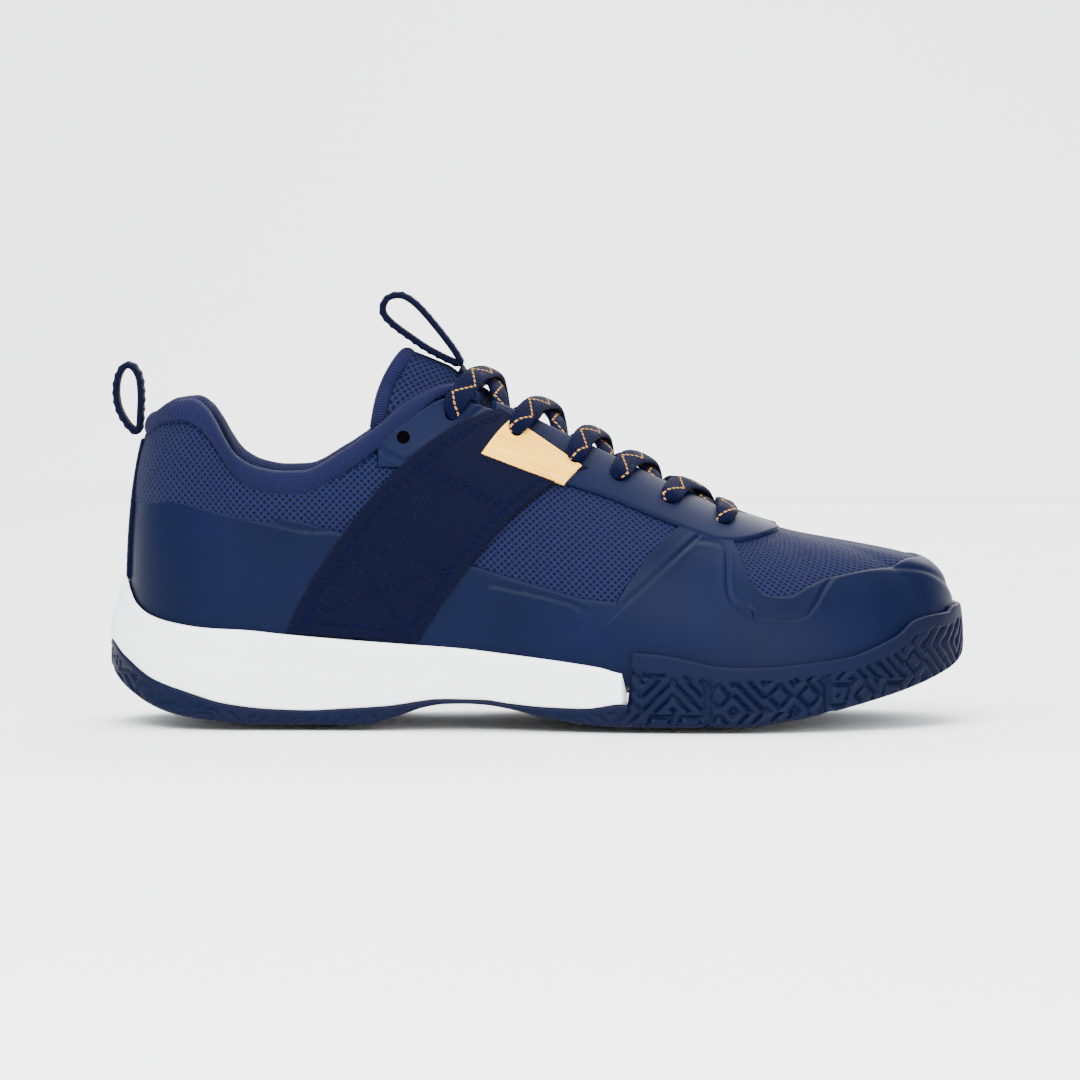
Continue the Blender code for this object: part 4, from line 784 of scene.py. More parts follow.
def skin_material(look):
    """Coated synthetic leather: fine dimples and slow patches of tone under a thin coat."""
    material, shader, nodes, where, _ = new_material("skin", specular=0.07, coat=0.012)
    grain = use(nodes, grain_group(), Place=where, Fineness=1300.0)
    tone = nodes.mix(grain["Tone"], darker(look.skin, 0.86), darker(look.skin, 1.16))
    nodes.set(shader.inputs["Base Color"], tone)
    nodes.set(shader.inputs["Roughness"], nodes.remap(grain["Tone"], 0.0, 1.0, 0.42, 0.52))
    bump(nodes, shader, grain["Height"], 0.35, 0.08)
    return material


def mesh_material(look, pitch):
    """Open mesh: yarn between staggered holes, on the piece's own surface. The holes take a near-black
    colour: the cloth under them with painted shade.
    """
    material, shader, nodes, where, surface = new_material("open_mesh", sheen=0.015, specular=0.08)
    lattice = use(nodes, lattice_group(), Place=surface, Pitch=pitch)
    grain = use(nodes, grain_group(), Place=where, Fineness=2500.0)
    yarn = nodes.mix(grain["Height"], darker(look.mesh_yarn, 0.75), darker(look.mesh_yarn, 1.25))
    # painted shade: the holes are filled with the near-black colour of shaded cloth
    nodes.set(shader.inputs["Base Color"], nodes.mix(lattice["Hole"], yarn, tuple(look.mesh_hole_shade)))
    shader.inputs["Roughness"].default_value = 0.72
    bump(nodes, shader, lattice["Height"], 0.9, 0.45)
    return material


def ribbed_material(name, tone, pitch, slant, breaks, sheen=0.01, depth=0.25, contrast=0.45):
    """Woven or knitted cloth with ribs on the piece's own surface; its colour is darker in the rib grooves
    and lighter on the crests, painted shade and light that follow the ribs' relief.
    """
    material, shader, nodes, where, surface = new_material(name, sheen=sheen, specular=0.08)
    ribs = use(nodes, ribs_group(), Place=surface, Pitch=pitch, Slant=slant, Break=breaks)
    grain = use(nodes, grain_group(), Place=where, Fineness=2200.0)
    # painted shade in the grooves and painted light on the crests, from the same rib height as the bump
    thread = nodes.mix(ribs["Rib"], darker(tone, 1 - contrast), darker(tone, 1 + contrast))
    dust = nodes.mix(grain["Tone"], darker(tone, 0.85), darker(tone, 1.15))
    nodes.set(shader.inputs["Base Color"], nodes.mix(0.4, thread, dust))
    shader.inputs["Roughness"].default_value = 0.8
    bump(nodes, shader, ribs["Height"], 0.7, depth)
    return material


def foam_material(look):
    """Moulded white foam: faint dimples, with a little light passing under its surface."""
    material, shader, nodes, where, _ = new_material("white_foam", specular=0.4)
    grain = use(nodes, grain_group(), Place=where, Fineness=700.0)
    tone = nodes.mix(grain["Tone"], darker(look.foam, 0.985), tuple(look.foam))
    nodes.set(shader.inputs["Base Color"], tone)
    nodes.set(shader.inputs["Roughness"], nodes.remap(grain["Tone"], 0.0, 1.0, 0.5, 0.6))
    shader.inputs["Subsurface Weight"].default_value = 0.08
    shader.inputs["Subsurface Scale"].default_value = 0.004
    bump(nodes, shader, grain["Height"], 0.15, 0.05)
    return material


def rubber_material(look):
    """Moulded rubber: soft dimples and slow patches of tone."""
    material, shader, nodes, where, _ = new_material("rubber", specular=0.09)
    grain = use(nodes, grain_group(), Place=where, Fineness=900.0)
    tone = nodes.mix(grain["Tone"], darker(look.rubber, 0.85), darker(look.rubber, 1.2))
    nodes.set(shader.inputs["Base Color"], tone)
    nodes.set(shader.inputs["Roughness"], nodes.remap(grain["Tone"], 0.0, 1.0, 0.5, 0.62))
    bump(nodes, shader, grain["Height"], 0.25, 0.06)
    return material


def foil_material(look):
    """Foil print: metal with long fine streaks along the bar, from noise stretched on the surface."""
    material, shader, nodes, _, surface = new_material("foil", metallic=0.2, specular=0.2)
    mapping = nodes.tree.nodes.new("ShaderNodeMapping")
    nodes.set(mapping.inputs["Vector"], surface)
    mapping.inputs["Scale"].default_value = (0.05, 2.6, 1)
    mapping.inputs["Rotation"].default_value = (0, 0, 0.15)
    streak = nodes.remap(nodes.noise(mapping.outputs[0], 1.0, 5.0), 0.35, 0.65)
    nodes.set(shader.inputs["Base Color"], nodes.mix(streak, darker(look.foil, 0.82), (1.0, 0.6, 0.075)))
    nodes.set(shader.inputs["Roughness"], nodes.remap(streak, 0.0, 1.0, 0.28, 0.5))
    bump(nodes, shader, streak, 0.3, 0.08)
    return material


def lace_material(look, width):
    """Flat woven lace: fine slanted ribs, darker in their grooves and lighter on their crests as painted
    shade and light, and a tracer that zigzags across it in dashes.
    """
    run, dash_step, half_tracer = 7.0, 1.5, 0.36
    material, shader, nodes, _, surface = new_material("lace_weave", sheen=0.01, specular=0.05)
    u, v = split(nodes, surface)
    ribs = use(nodes, ribs_group(), Place=surface, Pitch=1.1, Slant=1.0, Break=0.9)
    swing = nodes.math("MULTIPLY", nodes.math("PINGPONG", u, run), width * 0.7 / run)
    swing = nodes.math("SUBTRACT", swing, width * 0.35)
    dashes = nodes.math("SINE", nodes.math("MULTIPLY", u, 2 * math.pi / dash_step))
    dash = nodes.math("GREATER_THAN", dashes, -0.45)
    apart = nodes.math("ABSOLUTE", nodes.math("SUBTRACT", v, swing))
    tracer = nodes.math("MULTIPLY", nodes.math("LESS_THAN", apart, half_tracer), dash)
    # painted shade in the rib grooves and painted light on the crests, from the same rib height as the bump
    ground = nodes.mix(ribs["Rib"], darker(look.lace, 0.55), darker(look.lace, 1.6))
    nodes.set(shader.inputs["Base Color"], nodes.mix(tracer, ground, tuple(look.tracer)))
    shader.inputs["Roughness"].default_value = 0.7
    bump(nodes, shader, nodes.math("ADD", ribs["Height"], nodes.math("MULTIPLY", tracer, 0.8)), 0.8, 0.22)
    return material


def plain_material(name, tone, roughness=0.6, metallic=0.0, specular=0.4):
    """Moulded or hidden pieces and thread: slow tone and fine grain."""
    material, shader, nodes, where, _ = new_material(name, metallic=metallic, specular=specular)
    grain = use(nodes, grain_group(), Place=where, Fineness=1500.0)
    nodes.set(shader.inputs["Base Color"], nodes.mix(grain["Tone"], darker(tone, 0.8), darker(tone, 1.15)))
    rough = nodes.remap(grain["Tone"], 0.0, 1.0, roughness - 0.06, roughness + 0.06)
    nodes.set(shader.inputs["Roughness"], rough)
    bump(nodes, shader, grain["Height"], 0.3, 0.06)
    return material


# ---------------------------------------------------------------------------------------------------- pieces


def look_of(context):
    """The colours among the settings."""
    return context.scene.shoe_colours


def sizes_of(context):
    """The sizes among the settings."""
    return context.scene.shoe_sizes


def once(name, make):
    """The material of this name, made when it is first asked for."""
    return bpy.data.materials.get(name) or make()


def paint(name, material):
    """Gives a shown node of the frame its material."""
    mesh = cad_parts[name].data
    mesh.materials.clear()
    mesh.materials.append(material)


def thread_material(look):
    """Sewing thread, a little lighter than the webbing."""
    return once("thread", lambda: plain_material("thread", darker(look.webbing, 1.7), 0.75, specular=0.06))


def knit_material(look):
    """Upright ribs of the rolled knit edges."""
    return once("knit", lambda: ribbed_material("knit", look.knit, 0.9, 0.0, 1.3, sheen=0.02, contrast=0.3,
                                                depth=0.22))


def tape_material(look):
    """Twill of the pull tapes."""
    return once("tape", lambda: ribbed_material("tape", look.webbing, 0.9, 0.35, 0.9, contrast=0.6))


def corners(side, low_line, high_line, count):
    """Ends of the columns between two lines on the side of the shoe, each (share of the length, height)."""
    at = np.linspace(0, 1, count)
    ends = []
    for line in (low_line, high_line):
        keys, heights = np.array(line, float).T
        known = np.linspace(0, 1, len(keys))
        ring = side * lap(np.interp(at, known, keys))
        ends.append((ring, turn_at_height(ring, np.interp(at, known, heights))))
    (ring_low, turn_low), (ring_high, turn_high) = ends
    return ring_low, ring_high, turn_low, turn_high


def panel(side, low_line, high_line, size):
    """Grid of ring coordinates and turns of a four-sided panel, about one point a millimetre."""
    wide, tall = size
    at = spaced(int(wide), wide)
    ends = corners(side, low_line, high_line, len(at))
    even = np.linspace(0, 1, len(at))
    ends = [np.interp(at, even, values) for values in ends]
    return spread(*ends, spaced(int(tall), tall))


def strap_run(side, spots, out, count=160):
    """Points and outward directions on the strap through spots (across, along), each from 0 to 1, by linear
    interpolation in an even grid."""
    spots = np.array(spots, float)
    at = np.linspace(0, 1, count) * (len(spots) - 1)
    across, along = (np.interp(at, np.arange(len(spots)), spots[:, k]) for k in (0, 1))
    steps = 39
    ends = corners(side, STRAP_LOW, STRAP_HIGH, steps + 1)
    ring, turn = spread(*ends, np.linspace(0, 1, steps + 1))
    i = np.clip((across * steps).astype(int), 0, steps - 1)
    j = np.clip((along * steps).astype(int), 0, steps - 1)
    a, b = across * steps - i, along * steps - j

    def read(grid):
        low = grid[i, j] * (1 - a) + grid[i + 1, j] * a
        return low * (1 - b) + (grid[i, j + 1] * (1 - a) + grid[i + 1, j + 1] * a) * b

    return line_run(read(ring), read(turn), out)


def line_run(ring, turn, out):
    """Points and outward directions along a line on the last."""
    points = wall(ring, turn, out)
    return points, points - wall(ring, turn, out - 1)


def collar_puff(spot):
    """Relief of the padding under the mesh: half a sine wave from the collar's edge down to the counter."""
    counter_top = 66
    at = share(spot[..., 0])
    edge = curve(COLLAR_EDGE, at)
    middle = np.clip((edge - spot[..., 2]) / np.maximum(edge - counter_top, 4), 0, 1)
    fade = np.clip((0.34 - at) / 0.1, 0, 1)
    return 1.6 * np.sin(middle * math.pi) * fade * (spot[..., 2] > 60)


def drawn_in(spot):
    """Relief of the strap: its face is level, a little below its edges."""
    return np.full(spot.shape[:-1], -0.12)


class CourtShoeOperator(bpy.types.Operator):
    """What the shoe's operators share"""

    bl_options = {"REGISTER", "UNDO"}


class COURTSHOE_OT_mesh(CourtShoeOperator):
    """Open mesh of the quarters and the vamp: thin sheets on the last, puffed over the collar's padding"""

    bl_idname = "court_shoe.mesh"
    bl_label = "Mesh"

    def execute(self, context):
        look, pitch = look_of(context), sizes_of(context).mesh_pitch / MM
        material = once("open_mesh", lambda: mesh_material(look, pitch))
        for side, word in SIDES:
            ring = side * even_rings(0.0, 2.0, 190)
            zero = 0 * ring
            place_on = spread(ring, ring, zero, facing_turn(ring, EYELET_MARGIN - 1), np.linspace(0, 1, 80))
            points = skin(f"quarter_mesh_skin_{word}", *place_on, -0.2, 0.2, material, relief=collar_puff)
            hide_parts(f"quarter_mesh_{word}")
        half = even_rings(2.0, 3.0, 110)
        ring = np.concatenate([-half[:-1], half[::-1]])
        place_on = spread(ring, ring, 0 * ring, facing_turn(ring, EYELET_MARGIN - 1), np.linspace(0, 1, 90))
        vamp = skin("vamp_mesh_skin", *place_on, -0.2, 0.2, material)
        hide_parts("vamp_mesh")
        return {"FINISHED"}


class COURTSHOE_OT_skins(CourtShoeOperator):
    """Fused skins of heel, midfoot and toe, with their moulded lines pressed in along a bell curve"""

    bl_idname = "court_shoe.skins"
    bl_label = "Skins"

    def execute(self, context):
        look = look_of(context)
        material = once("skin", lambda: skin_material(look))
        start = float(lap(TOE_SKIN_START))
        half = even_rings(start, 3.0, 275)
        toe = np.concatenate([-half[:-1], half[::-1]])
        ahead = np.clip((TOE_SKIN_UPRIGHT - np.abs(toe)) / (TOE_SKIN_UPRIGHT - start), 0, 1)
        high = np.sign(toe) * (np.abs(toe) + ahead * TOE_SKIN_LEAN)
        top = turn_at_distance(high, curve(TOE_SKIN_EDGE, np.abs(high)) * breadth(high))
        obj = skin("toe_skin", *spread(toe, high, 0 * toe, top, spaced(66, 52)), 0.0, 0.95, material,
                   relief=moulded(FOREFOOT_LINE), radius=1.2)
        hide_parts("toe_overlay", "toe_puff", "vamp_lining")
        for side, word in SIDES:
            ring = even_rings(0.0, float(lap(HEEL_SKIN_END)), 130)
            front = ring + HEEL_SKIN_LEAN * ring / ring[-1]
            top = turn_at_height(side * front, curve(HEEL_SKIN_TOP, share(plan(front)[0][:, 0])))
            grid = spread(side * ring, side * front, 0 * ring, top, spaced(60, 55))
            obj = skin(f"heel_skin_{word}", *grid, 0.0, 0.95, material, relief=moulded(HEEL_LINE), radius=1.2)
            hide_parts(f"heel_overlay_{word}")
            grid = panel(side, MIDFOOT_LOW, MIDFOOT_HIGH, (90, 44))
            obj = skin(f"midfoot_skin_{word}", *grid, 0.0, 0.9, material, relief=moulded(MIDFOOT_LINE),
                       radius=1.2)
            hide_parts(f"midfoot_overlay_{word}")
        return {"FINISHED"}


class COURTSHOE_OT_facing(CourtShoeOperator):
    """Eyelet facing round the throat, the top tabs with their moulded shape, and near-black discs of painted
    shade at the eyelets
    """

    bl_idname = "court_shoe.facing"
    bl_label = "Facing"

    def execute(self, context):
        look = look_of(context)
        material = once("skin", lambda: skin_material(look))
        half = even_rings(float(lap(FACING_START)), 3.0, 170)
        ring = np.concatenate([-half[:-1], half[::-1]])
        grid = spread(ring, ring, facing_turn(ring, FACING_MARGIN), edge_turn(ring), spaced(26, 20))
        obj = skin("facing_skin", *grid, 0.1, 1.35, material, radius=1.1, edges="all", deep=0.4)
        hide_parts("eyestay")
        for side, word in SIDES:
            ring = side * even_rings(float(lap(TAB_START)), float(lap(TAB_END)), 66)
            low, high = facing_turn(ring, FACING_MARGIN), lower(ring, edge_turn(ring), TAB_BELOW_EDGE)
            obj = skin(f"tab_skin_{word}", *spread(ring, ring, low, high, spaced(28, 20)), 0.1, 1.4, material,
                       relief=moulded(TAB_LINE), radius=1.1, edges="all", deep=0.4)
            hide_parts(f"eyelet_tab_{word}")
            self.punch(side, word)
        return {"FINISHED"}

    def punch(self, side, word):
        """Painted shade at the eyelets: a near-black flat profile turned round each eyelet's own direction,
        standing in for the shadow inside each hole.
        """
        radius = np.array([0.05, 1.2, 1.7, 2.0, 2.15, 2.3, 2.3])
        height = np.array([0.02, 0.02, 0.04, 0.08, 0.06, -0.1, -0.8])
        turns = np.linspace(0, 2 * math.pi, 25)
        patches = []
        for row, (part, distance) in enumerate(EYELETS + [SPARE_EYELET]):
            ring, turn = eyelet_place(side, part, distance)
            out = 2.42 if row in ROWS_ON_STRAP else 1.62
            centre = wall(ring, turn, out)
            up = unit(wall(ring, turn, out + 1) - centre)
            first = unit(np.cross(up, [1.0, 0.0, 0.0]))
            second = np.cross(up, first)
            circle = np.cos(turns)[:, None] * first + np.sin(turns)[:, None] * second
            grid = centre + circle[:, None] * radius[:, None] + up * height[:, None]
            closed = np.concatenate([grid, np.broadcast_to(centre - up * 0.8, (25, 1, 3))], axis=1)
            closed = np.concatenate([np.broadcast_to(centre - up * 0.1, (25, 1, 3)), closed], axis=1)
            patches.append((closed, np.zeros(closed.shape[:2] + (2,))))
        # near-black painted shade for the dark inside of each eyelet hole
        shade = once("eyelet_painted_shade", lambda: plain_material("eyelet_painted_shade", EYELET_SHADE, 0.9, specular=0.02))
        build(f"eyelet_shade_discs_{word}", patches, shade, "shoe")


class COURTSHOE_OT_strap(CourtShoeOperator):
    """Twill strap on each side with its stitching, and the plain foil bar"""

    bl_idname = "court_shoe.strap"
    bl_label = "Strap"

    def execute(self, context):
        look, sizes = look_of(context), sizes_of(context)
        twill = ribbed_material("twill", look.webbing, sizes.twill_pitch / MM, -0.55, 0.75, contrast=0.75,
                                depth=0.35)
        thread = thread_material(look)
        foil = foil_material(look)
        for side, word in SIDES:
            obj = skin(f"strap_{word}_cloth", *panel(side, STRAP_LOW, STRAP_HIGH, (46, 100)), 0.8, 1.3, twill,
                       relief=drawn_in, radius=0.7, edges="all", deep=0.8)
            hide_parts(f"webbing_strap_{word}")
            bar = skin(f"foil_{word}_print", *panel(side, FOIL_LOW, FOIL_HIGH, (31, 16)), 1.6, 0.75, foil,
                       radius=0.4, edges="all", deep=0.1)
            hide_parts(f"foil_bar_{word}")
            lines = [[(at, 0.02), (at, 0.97)] for at in (0.09, 0.91, 0.12, 0.88)]
            lines += [[(0.09, at), (0.91, at)] for at in (0.66, 0.64, 0.33, 0.05)]
            lines += [[(0.09, 0.05), (0.91, 0.33)], [(0.09, 0.33), (0.91, 0.05)]]
            runs = [strap_run(side, line, 2.15) for line in lines]
            seam = stitches(f"strap_stitching_{word}", runs, thread, "shoe", sizes)
        ring = np.linspace(-HEEL_STRIP_HALF_RING, HEEL_STRIP_HALF_RING, 26)
        low, high = turn_at_height(ring, HEEL_STRIP_BOTTOM), turn_at_height(ring, HEEL_STRIP_TOP)
        strip = skin("heel_strip_tape", *spread(ring, ring, low, high, spaced(46, 46)), 0.9, 1.3, twill,
                     edges="all", radius=0.7, deep=0.9)
        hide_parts("heel_seam_strip")
        runs = []
        for at in (-0.115, 0.115):
            column = np.full(60, at)
            runs.append(line_run(column, np.linspace(low[0], high[0], 60), 2.25))
        stitches("heel_strip_stitching", runs, thread, "shoe", sizes)
        return {"FINISHED"}


class COURTSHOE_OT_collar(CourtShoeOperator):
    """Padded knit band rolled over the collar's edge: one closed section carried round the opening"""

    bl_idname = "court_shoe.collar"
    bl_label = "Collar"

    def execute(self, context):
        look, sizes = look_of(context), sizes_of(context)
        knit = knit_material(look)
        end = float(lap(COLLAR_END))
        ring = even_rings(-end, end, 420)
        top = edge_turn(ring)
        tangent = wall(ring, top) - wall(ring, top - 0.01)
        speed = np.linalg.norm(tangent, axis=-1) / 0.01
        tangent = unit(tangent)
        at = share(plan(ring)[0][:, 0])
        deep = 1 - 0.6 * np.clip((at - 0.31) / 0.03, 0, 1)
        short = 1 - 0.45 * np.clip((at - 0.34) / 0.03, 0, 1)
        closed = smooth_path(COLLAR_SECTION + COLLAR_SECTION[:1], 4)
        closed[-1] = closed[0]
        out = np.where(closed[:, 0] < 0, closed[:, 0] * deep[:, None], closed[:, 0])
        down = np.minimum(closed[:, 1], 0) * short[:, None] / speed[:, None]
        grid = wall(ring[:, None], top[:, None] + down, out)
        grid = grid + tangent[:, None] * np.maximum(closed[:, 1], 0)[:, None]
        patches = [(grid, place_on_grid(grid))]
        for last in (0, -1):
            centre = np.broadcast_to(grid[last].mean(0), grid[last].shape)
            patches.append((np.stack([grid[last], centre]), np.zeros((2, len(closed), 2))))
        band = build("collar_band", patches, knit, "shoe")
        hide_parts("collar_binding", "collar_foam_lateral", "collar_foam_medial")
        thread = thread_material(look)
        seam = line_run(ring, top - 6.9 * short / speed, 1.1)
        stitches("collar_stitching", [seam], thread, "shoe", sizes)
        return {"FINISHED"}


def tongue_points(down, out, across):
    """Points over the tongue, (0 front to 1 top, -1 to 1 across): a strip of the last, sunk by a smooth
    profile that blends from its edge to its crown."""
    t, s = down[None, :], across[:, None]
    front, top = float(place(TONGUE_FRONT)), float(place(TONGUE_TOP))
    x = front + (top - TONGUE_SWEEP * np.abs(s) ** 1.5 * t**3 - front) * t
    along = np.clip((x - HEEL_X) / (BALL_X - HEEL_X), 0, 1)
    half = curve(TONGUE_HALF_WIDTH, t) * slimmer(np.where(s < 0, -1.0, 1.0) * (1 + along))
    y = curve(RIDGE_Y, along) + s * half
    near_edge = np.clip(np.abs(s) / 0.7, 0, 1)
    swell = 1 - near_edge**2 * (3 - 2 * near_edge)
    depth = curve(TONGUE_EDGE, t) * (1 - swell) + curve(TONGUE_CROWN, t) * swell
    ring, turn = over_place(x, y)
    spot = wall(ring, turn, 0.0)
    upright = np.clip((x - 40) / 15, 0, 1)[..., None]
    square = unit((wall(ring, turn, 1.0) - spot) * (1 - upright) + np.array([0, 0, 1.0]) * upright)
    return spot + square * (depth + out)[..., None]


class COURTSHOE_OT_tongue(CourtShoeOperator):
    """Padded tongue: mesh face, lining and a rolled knit edge, all sections of one smooth strip"""

    bl_idname = "court_shoe.tongue"
    bl_label = "Tongue"

    def execute(self, context):
        look, sizes = look_of(context), sizes_of(context)
        face = once("open_mesh", lambda: mesh_material(look, sizes.mesh_pitch / MM))
        lining = ribbed_material("tongue_cloth", look.lining, 0.8, 0.4, 0.9, depth=0.1)
        knit = knit_material(look)
        end = 0.975
        across = np.concatenate([[-1, -0.992, -0.975], np.linspace(-0.95, 0.95, 58), [0.975, 0.992, 1]])
        rise = np.minimum(1 - np.abs(across), 0.06) / 0.06
        swell = 0.9 * dome(rise, 1.0)[:, None] - 0.9
        down = np.linspace(0, end, 130)
        outer = tongue_points(down, swell, across)
        core = tongue_points(down, -3.6 + 0 * swell, across)
        inner = tongue_points(down, -6.9 - 0.8 * dome(rise, 1.0)[:, None] + 0.8, across)
        cushion = build("tongue_cushion", slab(outer, core), face, "tongue")
        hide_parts("tongue_face", "tongue_foam")
        back = build("tongue_back", slab(core, inner), lining, "tongue")
        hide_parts("tongue_lining")
        top = tongue_points(np.array([0.93, end - 0.002]), -3.4, np.linspace(-0.97, 0.97, 90))
        away = unit(top[:, 1] - top[:, 0])
        path = top[:, 1] + away * 2.2
        tangent = unit(np.gradient(path, axis=0))
        lift = unit(np.cross(tangent, away))
        thin = np.clip((0.5 - np.abs(np.linspace(-0.5, 0.5, 90))) / 0.03, 0.15, 1)
        rolled = swept(path, away, lift, 3.4 * thin, 3.9 * thin, sides=28, power=2.1)
        roll = build("tongue_roll", rolled, knit, "tongue")
        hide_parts("tongue_binding")
        down = np.linspace(0.7, 0.845, 40)
        across = np.linspace(-0.215, 0.215, 22)
        rise = 1.1 + 2.3 * np.clip((down - 0.78) / 0.065, 0, 1) ** 1.5
        edge = dome(np.minimum(across - across[0], across[-1] - across), 0.03)
        face_out = np.maximum(rise * edge[:, None], 0.3)
        tape = tape_material(look)
        face_points = tongue_points(down, face_out, across)
        back_points = tongue_points(down, -0.2 + 0 * face_out, across)
        build("tongue_loop_anchor", slab(face_points, back_points), tape, "tongue")
        return {"FINISHED"}


class COURTSHOE_OT_loops(CourtShoeOperator):
    """Pull tapes at heel and tongue, and the reflective line on the tongue's tape"""

    bl_idname = "court_shoe.loops"
    bl_label = "Pull loops"

    def execute(self, context):
        look, sizes = look_of(context), sizes_of(context)
        tape = tape_material(look)
        thread = thread_material(look)
        shine = plain_material("reflective_thread", tuple(look.reflective), 0.3, metallic=0.6)
        for name, pivot, points, y, body, cad in (
                ("heel_loop", HEEL_PIVOT, HEEL_LOOP, 0.0, "heel_loop", "heel_pull_loop"),
                ("tongue_loop", TONGUE_PIVOT, TONGUE_LOOP, 1.5, "tongue_loop", "tongue_pull_loop")):
            spots = [(pivot[0] + a, y, pivot[1] + b) for a, b in points]
            line = smooth_path([spots[-1]] + spots + spots[:2], 12)[12:-12]
            line[-1] = line[0]
            tangent = np.gradient(line, axis=0)
            tangent[0] = tangent[-1] = tangent[0] + tangent[-1]
            tangent = unit(tangent)
            side = np.broadcast_to([0.0, 1.0, 0.0], line.shape)
            up = unit(np.cross(tangent, side))
            turns = np.linspace(0, 2 * math.pi, 25)
            cos, sin = np.cos(turns), np.sin(turns)
            wide = np.sign(cos) * np.abs(cos) ** 0.35 * LOOP_WIDTH / 2
            tall = np.sign(sin) * np.abs(sin) ** 0.6 * LOOP_THICK / 2
            grid = line[:, None] + side[:, None] * wide[:, None] + up[:, None] * tall[:, None]
            run = lengths(line)
            uv = np.stack([np.broadcast_to(run[:, None], grid.shape[:2]), wide + 0 * run[:, None]], axis=-1)
            obj = build(name + "_tape", [(grid, uv)], tape, body, smooth_angle=60.0)
            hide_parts(cad)
            outward = np.sign(((line - line.mean(0)) * up).sum(-1).mean())
            runs = []
            for edge in (-1, 1):
                runs.append((line + side * edge * (LOOP_WIDTH / 2 - 1.4) + up * outward * LOOP_THICK / 2,
                             up * outward))
            stitches(name + "_stitching", runs, thread, body, sizes)
            if name == "tongue_loop":
                part = slice(int(len(line) * 0.63), int(len(line) * 0.97))
                bead = line[part] + up[part] * outward * (LOOP_THICK / 2 + 0.12)
                bead = bead - side[part] * 3.4
                line_of_light = swept(bead, side[part], up[part], 0.55, 0.3, sides=10)
                build("tongue_loop_reflective", line_of_light, shine, body)
        return {"FINISHED"}


# The flat lace's width, as a share of its full width, at each point of its way from one hole to the next
LACE_WIDTHS = (0.7, 0.5, 0.6, 0.8, 0.9, 0.95, 1.0, 1.05, 1.0)


def lace_route():
    """The lace's points with its width there, from its end under the outer facing to the inner one."""

    def hole(side, row):
        return bare(*eyelet_place(side, *EYELETS[row]))[:2]

    def above(row):
        return 4.0 if row in ROWS_ON_STRAP else 3.0

    def crossing(side, row, high):
        """Out of a row's hole, under its facing, across the tongue, over the other facing to the next."""
        start, end = hole(side, row), hole(-side, row + 1)
        step = end[0] - start[0]
        gap = float(curve(THROAT_HALF_GAP, share((start[0] + end[0]) / 2)))
        middle_x = start[0] + step * 0.42
        lift = (2.6 if high else -0.3) + {4: 1.4, 3: 0.6}.get(row, 0) - {0: 0.3}.get(row, 0)
        near_y, far_y = float(ridge_y(start[0])), float(ridge_y(end[0]))
        spots = [
            (start[0], start[1], above(row) - 1.5), (start[0], start[1], -0.1),
            (start[0] + step * 0.06, start[1] - side * 1.8, -1.9),
            (start[0] + step * 0.14, near_y + side * (gap + 1.5), -1.9),
            (start[0] + step * 0.27, near_y + side * gap * 0.55, lift * 0.3),
            (middle_x, float(ridge_y(middle_x)), lift),
            (start[0] + step * 0.68, far_y - side * gap * 0.75, (lift + above(row + 1)) / 2 + 0.6),
            (start[0] + step * 0.84, far_y - side * (gap + 2.5), above(row + 1) + 0.3),
            (end[0] - step * 0.03, end[1] + side * 1.9, above(row + 1)),
        ]
        return [(*spot, share_of) for spot, share_of in zip(spots, LACE_WIDTHS)]

    def half(side):
        points, here = [], side
        for row in range(5):
            points += crossing(here, row, high=(row % 2 == 0) == (side > 0))
            here = -here
        last = hole(here, 5)
        points += [(last[0], last[1], above(5) - 1.5, 0.6), (last[0], last[1], -0.1, 0.5),
                   (last[0] + 1.2, last[1] + here * 0.8, -1.9, 0.5)]
        return points, here

    def laid(points):
        spots = np.array(points)
        ring, turn = over_place(spots[:, 0], spots[:, 1])
        point = wall(ring, turn, spots[:, 2])
        return np.column_stack([point, spots[:, 3], unit(wall(ring, turn, spots[:, 2] + 1) - point)])

    def tail(side):
        ring = side * lap(np.array([0.41, 0.435, 0.465, 0.5, 0.53, 0.553]))
        turn = lower(ring, row_turn(ring), 4.1)
        point = wall(ring, turn, -1.7)
        return np.column_stack([point, np.full(6, 0.42), unit(wall(ring, turn, -0.7) - point)])

    outer, outer_end = half(-1)
    inner, inner_end = half(1)
    first, second = hole(-1, 0), hole(1, 0)
    bar = [(first[0] + 0.6, first[1] + 2.2, 2.9, 0.85)]
    for y in (-13, -4.5, 4.5, 11.5, 17.5):
        bar.append((second[0] + 1.2, y, 3.1 if abs(y) > 12 else 2.2, 1.0))
    bar.append((second[0] + 0.6, second[1] - 2.2, 2.9, 0.85))
    return np.vstack([tail(outer_end)[::-1], laid(outer)[::-1], laid(bar), laid(inner), tail(inner_end)])


